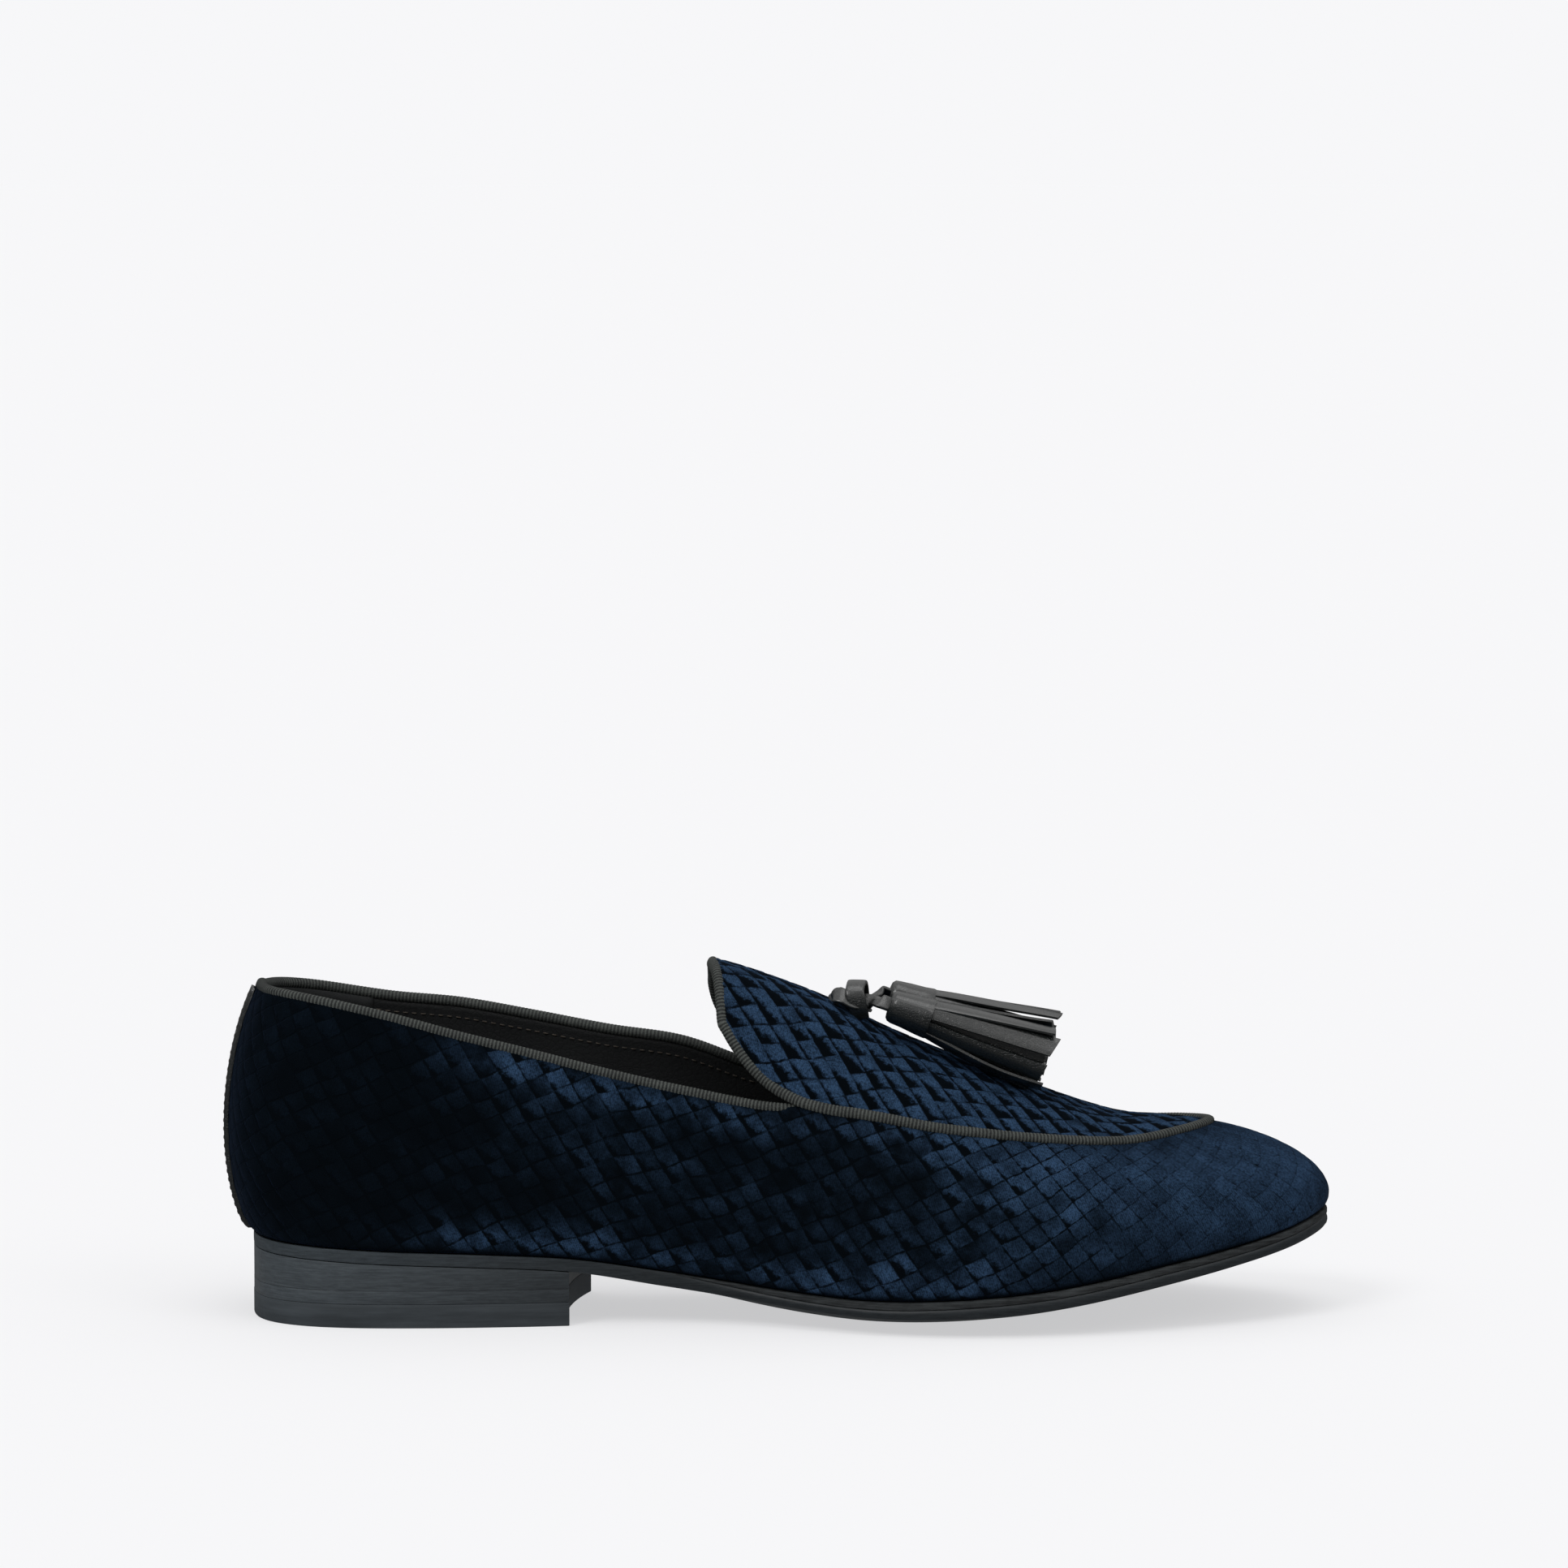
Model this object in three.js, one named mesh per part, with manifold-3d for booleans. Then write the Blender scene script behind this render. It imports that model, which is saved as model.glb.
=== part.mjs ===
// Velvet slipper loafer, the right shoe of a pair, built on the last that its upper was pulled over.
// Lengths are millimetres. X runs to the toe, Y to the inner side of the foot, Z up from the floor.
// The origin is on the floor, in the middle of the heel's rest face.
import * as THREE from "three";
import { mergeVertices } from "three/addons/utils/BufferGeometryUtils.js";
import Module from "manifold-3d";

const wasm = await Module();
wasm.setup();

// Driving sizes of the last
const length = 300;
const ballWidth = 96;
const instepHeight = 95;
const heelBack = 45;

// Thicknesses and fits
const wall = 2.4;
const gap = 0.3;
const insoleThickness = 2.5;
const insoleRound = 0.7;
const weltThickness = 1.9;
const weltWidth = 5.5;
const soleEdgeHeel = 1.0;
const soleEdgeFront = 1.6;
const edgeBevel = 0.7;
const treadCrown = 5.6;

// Heel
const topLiftHeight = 6.4;
const heelLiftHeight = 10;
const breastOuter = 94.4;
const breastSkew = 4.2;
const breastHollow = 3;
const breastPoints = 5;
const heelSteps = 0.25;
const baseInset = 0.2;
const liftInset = 0.1;

// Apron, tongue and bindings
const tongueHalfWidth = 17.5;
const apronInset = 12.6;
const apronInnerInset = 14;
const apronBroadest = 190;
const apronFront = 267.5;
const apronFrontFullness = 1.62;
const tongueCorner = 2.0;
const tongueLean = 0.12;
const pipingHalfWidth = 1.35;
const pipingProud = 1.4;
const pipingLift = 0.2;
const bindingOver = 0.5;
const backstayHalfWidth = 7;
const backstayThickness = 0.9;

// Tassels
// Widths of the thongs are shares of this one
const thongWidth = 4;
const thongThickness = 1.1;
const thongSteps = 5;
const thongNormal = new THREE.Vector3(0.35, 0, 0.94);
const knotStation = 171.2;
const tasselStation = 180.3;
const tasselApart = 6.3;
const tasselSplay = 2.4;
const tasselHeadLift = 7.8;
const tasselFootLift = 10.6;
const tasselCapLength = 12;
const tasselCapRadius = 4.5;
const fringeReach = 43.2;
const fringeLength = 36;
const fringeSpread = 9;
const fringeFlatness = 0.62;
const stripThickness = 1.1;
const stripTuck = 2;
const stripTaper = 0.25;
const cutSteps = 0.05;
const knotClear = 2.5;
// Cap of a tassel: radius as a share of the cap's radius, height as a share of its length
const capProfile = [
  { radius: 0, height: 0 },
  { radius: 0.7, height: 0 },
  { radius: 1, height: 0.125 },
  { radius: 1.25, height: 1 },
  { radius: 0, height: 1 },
];
const capSides = 12;
// Layers of the fringe: distance from the middle as a share of the spread, number of strips and their width
const fringeLayers = [
  { share: 0.05, strips: 1, width: 5 },
  { share: 0.55, strips: 5, width: 4.4 },
  { share: 1.0, strips: 9, width: 4.4 },
];
// Thongs of the knot: places as distances in front of the knot, across the shoe and over the ridge
const knotThongs = {
  loop: {
    width: 0.7,
    path: [
      [-1.5, -5.5, 1.2],
      [0, -5, 5],
      [1.5, -1, 7.6],
      [3, 3.4, 5.5],
      [2.5, 5, 1.6],
    ],
  },
  wrap: {
    width: 0.6,
    path: [
      [-3.5, 3.5, 2.3],
      [-3.8, -1.5, 2.8],
      [0, -5.2, 3.2],
      [4, -2, 5],
      [3.6, 2.5, 5],
    ],
  },
};
const endWidth = 0.4;

// Ribs of the last from the heel's back to the toe's tip. The outer and inner feather points and the
// ridge stand as shares: X of the length, Y of half the ball width, Z of the instep height.
// swell is how far the wall stands out past the feather line, as a share of half the ball width,
// and lean is how soon the wall turns in to the ridge.
const half = ballWidth / 2;
const ribColumns = ["outX", "outY", "inX", "inY", "topX", "topY", "topZ", "swell", "lean"];
const ribs = [
  [0.0293, 0.0, 0.0293, 0.0, 0.147, 0.0, 1.095, 0.176, 0.32],
  [0.0393, 0.344, 0.0393, 0.344, 0.1485, 0.0, 1.095, 0.165, 0.31],
  [0.0683, 0.546, 0.0683, 0.546, 0.16, 0.0, 1.09, 0.135, 0.32],
  [0.1167, 0.646, 0.1167, 0.642, 0.187, 0.0, 1.084, 0.083, 0.35],
  [0.19, 0.658, 0.19, 0.633, 0.233, 0.0, 1.074, 0.0625, 0.4],
  [0.27, 0.617, 0.27, 0.579, 0.293, 0.0, 1.058, 0.075, 0.45],
  [0.3533, 0.554, 0.3533, 0.5, 0.36, 0.0, 1.037, 0.108, 0.52],
  [0.4535, 0.57, 0.442, 0.5205, 0.4425, 0.0, 1.0035, 0.128, 0.6],
  [0.5267, 0.729, 0.5333, 0.7, 0.5333, 0.0, 0.907, 0.1, 0.74],
  [0.5933, 0.908, 0.6067, 0.9, 0.6, 0.0, 0.803, 0.071, 0.84],
  [0.6633, 0.9875, 0.6867, 1.004, 0.6667, 0.006, 0.713, 0.0625, 0.92],
  [0.743, 0.958, 0.7667, 0.979, 0.7333, 0.02, 0.632, 0.058, 1.0],
  [0.8267, 0.823, 0.8467, 0.865, 0.7933, 0.042, 0.567, 0.058, 1.06],
  [0.9033, 0.608, 0.9167, 0.681, 0.8333, 0.0625, 0.553, 0.0625, 1.12],
  [0.964, 0.344, 0.971, 0.443, 0.8533, 0.073, 0.547, 0.069, 1.18],
  [0.9945, -0.083, 0.9945, 0.083, 0.86, 0.083, 0.546, 0.071, 1.2],
].map((row) => Object.fromEntries(ribColumns.map((name, k) => [name, row[k]])));
const tongueRib = 7;
const throatRib = 8;
const toeRib = ribs.length - 1;
const swellPeak = 0.82;
const swellFullness = 0.65;

// Seat line: height of the sole's upper edge and thickness of that edge, as shares of the instep height
const seat = [
  { at: 0.027, height: 0.235, edge: 0.036 },
  { at: 0.147, height: 0.216, edge: 0.036 },
  { at: 0.233, height: 0.2055, edge: 0.036 },
  { at: 0.313, height: 0.1895, edge: 0.036 },
  { at: 0.4, height: 0.1505, edge: 0.041 },
  { at: 0.4833, height: 0.1135, edge: 0.041 },
  { at: 0.5667, height: 0.095, edge: 0.044 },
  { at: 0.66, height: 0.1042, edge: 0.0495 },
  { at: 0.75, height: 0.1315, edge: 0.0525 },
  { at: 0.8467, height: 0.186, edge: 0.0525 },
  { at: 0.9267, height: 0.234, edge: 0.05 },
  { at: 0.996, height: 0.289, edge: 0.052 },
];

// Crown of the tread across the sole and thickness of the welt, as shares of their full size
const forepart = [
  { at: 0.3, crown: 0.0, welt: 0.0 },
  { at: 0.42, crown: 0.3, welt: 0.25 },
  { at: 0.5, crown: 0.8, welt: 0.8 },
  { at: 0.58, crown: 1.0, welt: 1.0 },
  { at: 0.7, crown: 0.95, welt: 1.0 },
  { at: 0.82, crown: 0.55, welt: 1.0 },
  { at: 1.0, crown: 0.12, welt: 1.0 },
];

// Topline: height of the middle of the collar binding, as shares of the instep height
const topline = [
  { at: 0.0, outer: 0.945, inner: 0.945 },
  { at: 0.067, outer: 0.934, inner: 0.908 },
  { at: 0.143, outer: 0.887, inner: 0.868 },
  { at: 0.21, outer: 0.83, inner: 0.85 },
  { at: 0.28, outer: 0.774, inner: 0.813 },
  { at: 0.347, outer: 0.718, inner: 0.775 },
  { at: 0.413, outer: 0.6715, inner: 0.742 },
  { at: 0.483, outer: 0.6305, inner: 0.66 },
  { at: 0.55, outer: 0.61, inner: 0.618 },
];

// A smooth curve through four values, between the middle two
function through(a, b, c, d, t) {
  const bend = (2 * a - 5 * b + 4 * c - d) * t + (3 * b - a - 3 * c + d) * t * t;
  return 0.5 * (2 * b + (c - a) * t + bend * t);
}

// A named column of a table at a share of the length, as a smooth curve through the rows
function lookUp(table, column, at) {
  const last = table.length - 1;
  let i = 0;
  while (i < last - 1 && at > table[i + 1].at) i += 1;
  const t = THREE.MathUtils.clamp((at - table[i].at) / (table[i + 1].at - table[i].at), 0, 1);
  const span = (k) => table[k + 1].at - table[k].at;
  const rise = (k) => (table[k + 1][column] - table[k][column]) / span(k);
  const slope = (k) => (k === 0 ? rise(0) : k === last ? rise(last - 1) : (rise(k - 1) + rise(k)) / 2);
  const start = table[i][column];
  const end = table[i + 1][column];
  const bow = (1 - t) * slope(i) * span(i) - t * slope(i + 1) * span(i) - (1 - 2 * t) * (end - start);
  return start + (end - start) * t + t * (1 - t) * bow;
}

const seatZ = (x) => lookUp(seat, "height", x / length) * instepHeight;
const edgeThickness = (x) => lookUp(seat, "edge", x / length) * instepHeight;
const weltAt = (x) => lookUp(forepart, "welt", x / length) * weltThickness;
const crownAt = (x) => lookUp(forepart, "crown", x / length) * treadCrown;

// A column of the rib table at a place along it. Past the heel or the toe it runs on round the other side.
function along(s, value) {
  const i = Math.min(Math.floor(s), toeRib - 1);
  const at = (k) => {
    const mirrored = k < 0 ? -k : 2 * toeRib - k;
    return k < 0 || k > toeRib ? value(ribs[mirrored], true) : value(ribs[k], false);
  };
  return through(at(i - 1), at(i), at(i + 1), at(i + 2), s - i);
}

// Feather point in plan, side -1 outer and 1 inner
function feather(side, s) {
  const x = along(s, (rib, past) => ((side < 0) !== past ? rib.outX : rib.inX)) * length;
  const y = along(s, (rib, past) => ((side < 0) !== past ? -rib.outY : rib.inY)) * half;
  return new THREE.Vector2(x, y);
}

// Point of the ridge over the rib
function ridge(s) {
  const x = along(s, (rib) => rib.topX) * length;
  const y = along(s, (rib) => rib.topY) * half;
  const z = along(s, (rib) => rib.topZ) * instepHeight;
  return new THREE.Vector3(x, y, z);
}

// Point of the last: v runs from 0 on the feather line to 1 on the ridge. Each rib is a quarter of a
// rounded square that stands out past the feather line by its swell.
function lastPoint(side, s, v) {
  const foot = feather(side, s);
  const top = ridge(s);
  const turn = (Math.min(v, 1) * Math.PI) / 2;
  const reach = Math.max(Math.cos(turn), 0) ** along(s, (rib) => rib.lean);
  const rise = Math.sin(turn);
  const spoke = foot.clone().sub(new THREE.Vector2(top.x, top.y));
  const swell = along(s, (rib) => rib.swell) * half;
  const out = swell * Math.max(Math.sin(Math.PI * rise ** swellPeak), 0) ** swellFullness;
  const plan = spoke.clone().multiplyScalar(reach).addScaledVector(spoke.clone().normalize(), out);
  const low = seatZ(foot.x) + gap;
  return new THREE.Vector3(top.x + plan.x, top.y + plan.y, low + (top.z - low) * rise);
}

// Outward normal of the last
function lastNormal(side, s, v) {
  const step = 0.02;
  const w = THREE.MathUtils.clamp(v, step, 1 - step);
  const a = lastPoint(side, Math.max(s - step, 0), w);
  const b = lastPoint(side, Math.min(s + step, toeRib), w);
  const alongRib = lastPoint(side, s, w + step).sub(lastPoint(side, s, w - step));
  const alongLast = b.sub(a);
  const normal = alongLast.cross(alongRib).normalize();
  return side < 0 ? normal : normal.negate();
}

// Normal where both sides share the point, on the ridge and at the heel's and the toe's middle
function sharedNormal(side, s, v) {
  const shared = v > 0.999 || s < 0.001 || s > toeRib - 0.001;
  const normal = lastNormal(side, s, v);
  return shared ? normal.add(lastNormal(-side, s, v)).normalize() : normal;
}

// Point at a depth under the last's surface. The feather edge goes in level.
function under(side, s, v, depth) {
  if (v < 0.001) {
    const edge = featherEdge(side, s, -depth);
    return new THREE.Vector3(edge.x, edge.y, lastPoint(side, s, 0).z);
  }
  return lastPoint(side, s, v).addScaledVector(sharedNormal(side, s, v), -depth);
}

// Feather line moved out in plan by a distance
function featherEdge(side, s, out) {
  const step = 0.02;
  const atEnd = s < 0.001 || s > toeRib - 0.001;
  const beside = THREE.MathUtils.clamp(s, step, toeRib - step);
  const a = atEnd ? feather(-side, beside) : feather(side, s - step);
  const b = atEnd ? feather(side, beside) : feather(side, Math.min(s + step, toeRib));
  const run = b.sub(a).normalize();
  const foot = feather(side, s);
  const top = ridge(s);
  const normal = new THREE.Vector2(run.y, -run.x);
  if (normal.dot(foot.clone().sub(new THREE.Vector2(top.x, top.y))) < 0) normal.negate();
  return foot.addScaledVector(normal, out);
}

// Apron in plan: half its width at a station, from the tongue's top edge to the front
function apronHalf(side, x) {
  const broadest = half - (side < 0 ? apronInset : apronInnerInset);
  const tongueX = THREE.MathUtils.lerp(ridge(tongueRib).x, feather(side, tongueRib).x, tongueLean);
  if (x < apronBroadest) {
    const t = THREE.MathUtils.clamp((x - tongueX) / (apronBroadest - tongueX), 0, 1);
    const widening = (1 - (1 - t) ** tongueCorner) ** (1 / tongueCorner);
    return tongueHalfWidth + (broadest - tongueHalfWidth) * widening;
  }
  const t = Math.min((x - apronBroadest) / (apronFront - apronBroadest), 1);
  return broadest * (1 - t ** apronFrontFullness) ** (1 / apronFrontFullness);
}

// Share up a rib at which a test turns true
function firstWhere(test) {
  let low = 0;
  let high = 1;
  for (let i = 0; i < 30; i += 1) {
    const middle = (low + high) / 2;
    if (test(middle)) high = middle;
    else low = middle;
  }
  return (low + high) / 2;
}

// Share up the rib of the apron seam
function seamShare(side, s) {
  return firstWhere((v) => {
    const p = lastPoint(side, s, v);
    return p.x < apronFront && Math.abs(p.y - ridge(s).y) < apronHalf(side, p.x);
  });
}

// Share up the rib of the topline, which runs into the apron seam at the throat
function toplineShare(side, s) {
  const height = (x) => lookUp(topline, side < 0 ? "outer" : "inner", x / length) * instepHeight;
  const free = (at) => firstWhere((v) => lastPoint(side, at, v).z > height(lastPoint(side, at, v).x));
  const t = Math.max(s - tongueRib, 0) / (throatRib - tongueRib);
  const miss = t > 0 ? seamShare(side, throatRib) - free(throatRib) : 0;
  return free(s) + miss * t ** 4;
}

// Shares between two shares of a rib, at equal steps along it
function evenShares(side, s, from, to, count) {
  const fine = 40;
  const shareAt = (i) => from + ((to - from) * i) / fine;
  const spots = Array.from({ length: fine + 1 }, (_, i) => lastPoint(side, s, shareAt(i)));
  const run = [0];
  for (let i = 1; i <= fine; i += 1) run.push(run[i - 1] + spots[i].distanceTo(spots[i - 1]));
  return Array.from({ length: count + 1 }, (_, k) => {
    const want = (run[fine] * k) / count;
    let i = 0;
    while (i < fine - 1 && run[i + 1] < want) i += 1;
    const part = (want - run[i]) / (run[i + 1] - run[i]);
    return k === count ? to : shareAt(i + part);
  });
}

// A geometry with its shared points merged and its flattened faces left out
function welded(geometry, distance) {
  const merged = mergeVertices(geometry, distance);
  const index = [];
  for (let i = 0; i < merged.index.count; i += 3) {
    const [a, b, c] = [0, 1, 2].map((k) => merged.index.getX(i + k));
    if (a !== b && b !== c && a !== c) index.push(a, b, c);
  }
  merged.setIndex(index);
  return merged;
}

// Triangles as a three.js geometry
function geometryOf(triangles) {
  const flat = new THREE.BufferGeometry();
  const numbers = triangles.flat().flatMap((p) => p.toArray());
  flat.setAttribute("position", new THREE.Float32BufferAttribute(numbers, 3));
  return welded(flat, 1e-3);
}

// A closed geometry as a solid, with its faces turned out
function solidOf(geometry) {
  const bare = geometry.clone();
  bare.deleteAttribute("normal");
  bare.deleteAttribute("uv");
  const merged = mergeVertices(bare, 1e-3);
  const make = (order) => {
    const triVerts = new Uint32Array(merged.index.array);
    for (let i = 0; i < triVerts.length; i += 3) {
      const [a, b, c] = order.map((k) => merged.index.array[i + k]);
      triVerts.set([a, b, c], i);
    }
    return new wasm.Manifold(
      new wasm.Mesh({ numProp: 3, vertProperties: merged.attributes.position.array, triVerts }),
    );
  };
  const solid = make([0, 1, 2]);
  return solid.volume() > 0 ? solid : make([0, 2, 1]);
}

// The main body of a solid after a cut
function mainBody(solid) {
  return solid.decompose().reduce((a, b) => (b.volume() > a.volume() ? b : a));
}

function quad(a, b, c, d) {
  return [
    [a, b, c],
    [a, c, d],
  ];
}

// Faces between two rows of points, closed round where asked
function strip(low, high, closed) {
  const faces = [];
  const count = closed ? low.length : low.length - 1;
  for (let i = 0; i < count; i += 1) {
    const j = (i + 1) % low.length;
    faces.push(...quad(low[i], low[j], high[j], high[i]));
  }
  return faces;
}

// Places of the ribs along the last, close together at the tongue's corner, with the throat's rib among them
const backRibs = Array.from({ length: tongueRib * 2 }, (_, i) => i / 2);
const tongueCloseness = 1.6;
const tongueRibs = Array.from(
  { length: 5 },
  (_, i) => tongueRib + (throatRib - tongueRib) * (i / 5) ** tongueCloseness,
);
const frontRibs = Array.from({ length: (toeRib - throatRib) * 2 + 1 }, (_, i) => throatRib + i / 2);
const places = [...backRibs, ...tongueRibs, ...frontRibs];
const round = [
  ...places.map((s) => ({ side: -1, s })),
  ...places.slice(1, -1).reverse().map((s) => ({ side: 1, s })),
];

// A body round the last from rings of points. The first and last rings lie on the middle line.
function roundBody(rings) {
  const rows = rings.map((ring) => round.map(({ side, s }) => ring(side, s)));
  return geometryOf(rows.slice(1).flatMap((row, i) => strip(rows[i], row, true)));
}

// Upper: one wall from the feather line to the topline and over the vamp, with the tongue open behind
const wallRows = 8;
const apronRows = 5;
function upperShell() {
  const faces = [];
  const skin = (depth) => {
    const lower = round.map(({ side, s }) => {
      const top = s < throatRib ? toplineShare(side, s) : seamShare(side, s);
      return evenShares(side, s, 0, top, wallRows).map((v) => under(side, s, v, depth));
    });
    const apron = places
      .filter((s) => s >= tongueRib)
      .map((s) => {
        const seamToRidge = (side) =>
          evenShares(side, s, seamShare(side, s), 1, apronRows).map((v) => under(side, s, v, depth));
        return [...seamToRidge(-1), ...seamToRidge(1).reverse().slice(1)];
      });
    return { lower, apron };
  };
  const outer = skin(0);
  const inner = skin(wall);
  const grid = (rows, closed, flip) => {
    const found = [];
    const count = closed ? rows.length : rows.length - 1;
    for (let i = 0; i < count; i += 1) found.push(...strip(rows[i], rows[(i + 1) % rows.length], false));
    return flip ? found.map(([a, b, c]) => [a, c, b]) : found;
  };
  faces.push(...grid(outer.lower, true, false), ...grid(inner.lower, true, true));
  faces.push(...grid(outer.apron, false, false), ...grid(inner.apron, false, true));
  const edge = (skinRows, k) => skinRows.map((row) => row[k < 0 ? row.length - 1 : k]);
  faces.push(...strip(edge(outer.lower, 0), edge(inner.lower, 0), true));
  // Topline edge: the ribs behind the throat, from the inner throat round the heel to the outer one
  const throat = places.indexOf(throatRib);
  const behind = (rows) => {
    const top = edge(rows, -1);
    return [...top.slice(round.length - throat), ...top.slice(0, throat + 1)];
  };
  faces.push(...strip(behind(inner.lower), behind(outer.lower), false));
  // Tongue edge: up the outer side from the throat, over the top and down the inner side
  const rim = (rows) => {
    const count = places.filter((s) => s >= tongueRib && s <= throatRib).length;
    const outerSide = rows.slice(0, count).map((row) => row[0]);
    const innerSide = rows.slice(0, count).map((row) => row[row.length - 1]);
    return [...outerSide.reverse(), ...rows[0].slice(1, -1), ...innerSide];
  };
  faces.push(...strip(rim(inner.apron), rim(outer.apron), false));
  return geometryOf(faces);
}

// A rope of oval section along a path of points, each with its normal
const ropeSides = 8;
function rope(path, closed, grow) {
  const count = path.length;
  const rings = path.map((spot, i) => {
    const before = path[closed ? (i + count - 1) % count : Math.max(i - 1, 0)].point;
    const after = path[closed ? (i + 1) % count : Math.min(i + 1, count - 1)].point;
    const run = after.clone().sub(before).normalize();
    const across = run.clone().cross(spot.normal).normalize();
    const up = across.clone().cross(run).normalize();
    const past = closed ? 0 : i === 0 ? -grow : i === count - 1 ? grow : 0;
    return Array.from({ length: ropeSides }, (_, k) => {
      const turn = ((k + 0.5) / ropeSides) * 2 * Math.PI;
      return spot.point
        .clone()
        .addScaledVector(run, past)
        .addScaledVector(across, Math.cos(turn) * (spot.wide + grow))
        .addScaledVector(up, Math.sin(turn) * (spot.thick + grow));
    });
  });
  const faces = [];
  const spans = closed ? count : count - 1;
  for (let i = 0; i < spans; i += 1) faces.push(...strip(rings[i], rings[(i + 1) % count], true));
  if (!closed) {
    const cap = (ring, flip) => {
      for (let k = 1; k < ropeSides - 1; k += 1) {
        faces.push(flip ? [ring[0], ring[k + 1], ring[k]] : [ring[0], ring[k], ring[k + 1]]);
      }
    };
    cap(rings[0], true);
    cap(rings[count - 1], false);
  }
  return geometryOf(faces);
}

// Piping round the apron: in the seam from the throat to the toe, and round the edge of the tongue
const pipingRibs = [
  ...Array.from({ length: 8 }, (_, i) => tongueRib + (throatRib - tongueRib) * (i / 8) ** tongueCloseness),
  ...Array.from({ length: (toeRib - throatRib) * 3 + 1 }, (_, i) => throatRib + i / 3),
];
function pipingPath() {
  const spot = (side, s, v, onEdge) => ({
    point: under(side, s, v, THREE.MathUtils.lerp(-pipingLift, wall / 2, onEdge)),
    normal: sharedNormal(side, s, v),
    wide: pipingHalfWidth,
    thick: THREE.MathUtils.lerp(pipingProud - pipingLift, wall / 2 + bindingOver, onEdge),
  });
  const edgeShare = (s) => THREE.MathUtils.clamp((throatRib - s) / (throatRib - tongueRib) / 0.5, 0, 1);
  const sidePath = (side) => pipingRibs.map((s) => spot(side, s, seamShare(side, s), edgeShare(s)));
  const overTop = (side) =>
    evenShares(side, tongueRib, seamShare(side, tongueRib), 1, apronRows)
      .slice(1)
      .map((v) => spot(side, tongueRib, v, 1));
  const loop = [
    ...sidePath(-1),
    ...sidePath(1).slice(0, -1).reverse(),
    ...overTop(1),
    ...overTop(-1).slice(0, -1).reverse(),
  ];
  return loop.filter((spot, i) => i === 0 || spot.point.distanceTo(loop[i - 1].point) > pipingHalfWidth);
}

// Binding over the topline, from the outer throat round the heel to the inner one, clear of the piping
function bindingPath() {
  const spot = ({ side, s }) => {
    const v = toplineShare(side, s);
    return {
      point: under(side, s, v, wall / 2),
      normal: sharedNormal(side, s, v),
      wide: pipingHalfWidth,
      thick: wall / 2 + bindingOver,
    };
  };
  const piping = pipingPath();
  const apart = 2 * (wall / 2 + bindingOver) + gap;
  const nearest = new THREE.Vector3();
  const clear = ({ point }) =>
    piping.every((spot, i) => {
      const next = piping[(i + 1) % piping.length];
      new THREE.Line3(spot.point, next.point).closestPointToPoint(point, true, nearest);
      return nearest.distanceTo(point) > apart;
    });
  const fine = Array.from({ length: throatRib * 3 }, (_, i) => i / 3);
  const ring = [
    ...fine.slice(1).reverse().map((s) => ({ side: -1, s })),
    ...fine.map((s) => ({ side: 1, s })),
  ];
  return ring.map(spot).filter(clear);
}

// Strip of leather up the heel's back, over the velvet
function backstayShell() {
  const halfway = 0.4;
  const clear = 1.5 * gap;
  const foot = 0.02;
  const perRib = lastPoint(1, 0.5, halfway).distanceTo(lastPoint(-1, 0.5, halfway));
  const reach = backstayHalfWidth / perRib;
  const columns = [-1, -0.6, -0.2, 0.2, 0.6, 1].map((k) => ({
    side: k < 0 ? -1 : 1,
    s: Math.abs(k) * reach,
  }));
  const rows = 8;
  const sheet = (out) =>
    columns.map(({ side, s }) => {
      const top = toplineShare(side, s);
      const height = lastPoint(side, s, top).distanceTo(lastPoint(side, s, 0));
      const stop = top * (1 - (pipingHalfWidth + 3 * gap) / height);
      return evenShares(side, s, 0, stop, rows).map((v) => {
        const p = under(side, s, Math.max(v, foot), -out);
        return v < foot ? new THREE.Vector3(p.x, p.y, lastPoint(side, s, 0).z) : p;
      });
    });
  const inner = sheet(clear);
  const outer = sheet(clear + backstayThickness);
  const faces = [];
  for (let i = 0; i + 1 < columns.length; i += 1) {
    faces.push(...strip(outer[i], outer[i + 1], false));
    faces.push(...strip(inner[i + 1], inner[i], false));
  }
  const rim = (sheetRows) => {
    const last = sheetRows.length - 1;
    return [
      ...sheetRows.map((row) => row[0]),
      ...sheetRows[last].slice(1, -1),
      ...sheetRows.map((row) => row[rows]).reverse(),
      ...sheetRows[0].slice(1, -1).reverse(),
    ];
  };
  faces.push(...strip(rim(inner), rim(outer), true).map(([a, b, c]) => [a, c, b]));
  return geometryOf(faces);
}

// Outline of the sole in plan, a margin outside the feather line
function soleEdge(side, s, inset) {
  const x = feather(side, s).x / length;
  const front = THREE.MathUtils.smoothstep(x, 0.4, 0.55);
  return featherEdge(side, s, THREE.MathUtils.lerp(soleEdgeHeel, soleEdgeFront, front) - inset);
}

// Place on the spoke from the middle line to the sole's edge
function onSpoke(side, s, share) {
  const top = ridge(s);
  const edge = soleEdge(side, s, edgeBevel);
  return new THREE.Vector2(
    THREE.MathUtils.lerp(top.x, edge.x, share),
    THREE.MathUtils.lerp(top.y, edge.y, share),
  );
}

const raised = (plan, z) => new THREE.Vector3(plan.x, plan.y, z);
const weltRib = 6.5;
const rebate = (side, s) => (s > weltRib + 0.1 ? weltAt(feather(side, s).x) + gap : 0);

// Height of the tread: the edge's height less the crown, with a flat where it meets the floor
function treadZ(x, share) {
  return Math.max(seatZ(x) - edgeThickness(x) - crownAt(x) * (1 - share ** 2.2), 0);
}

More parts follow.
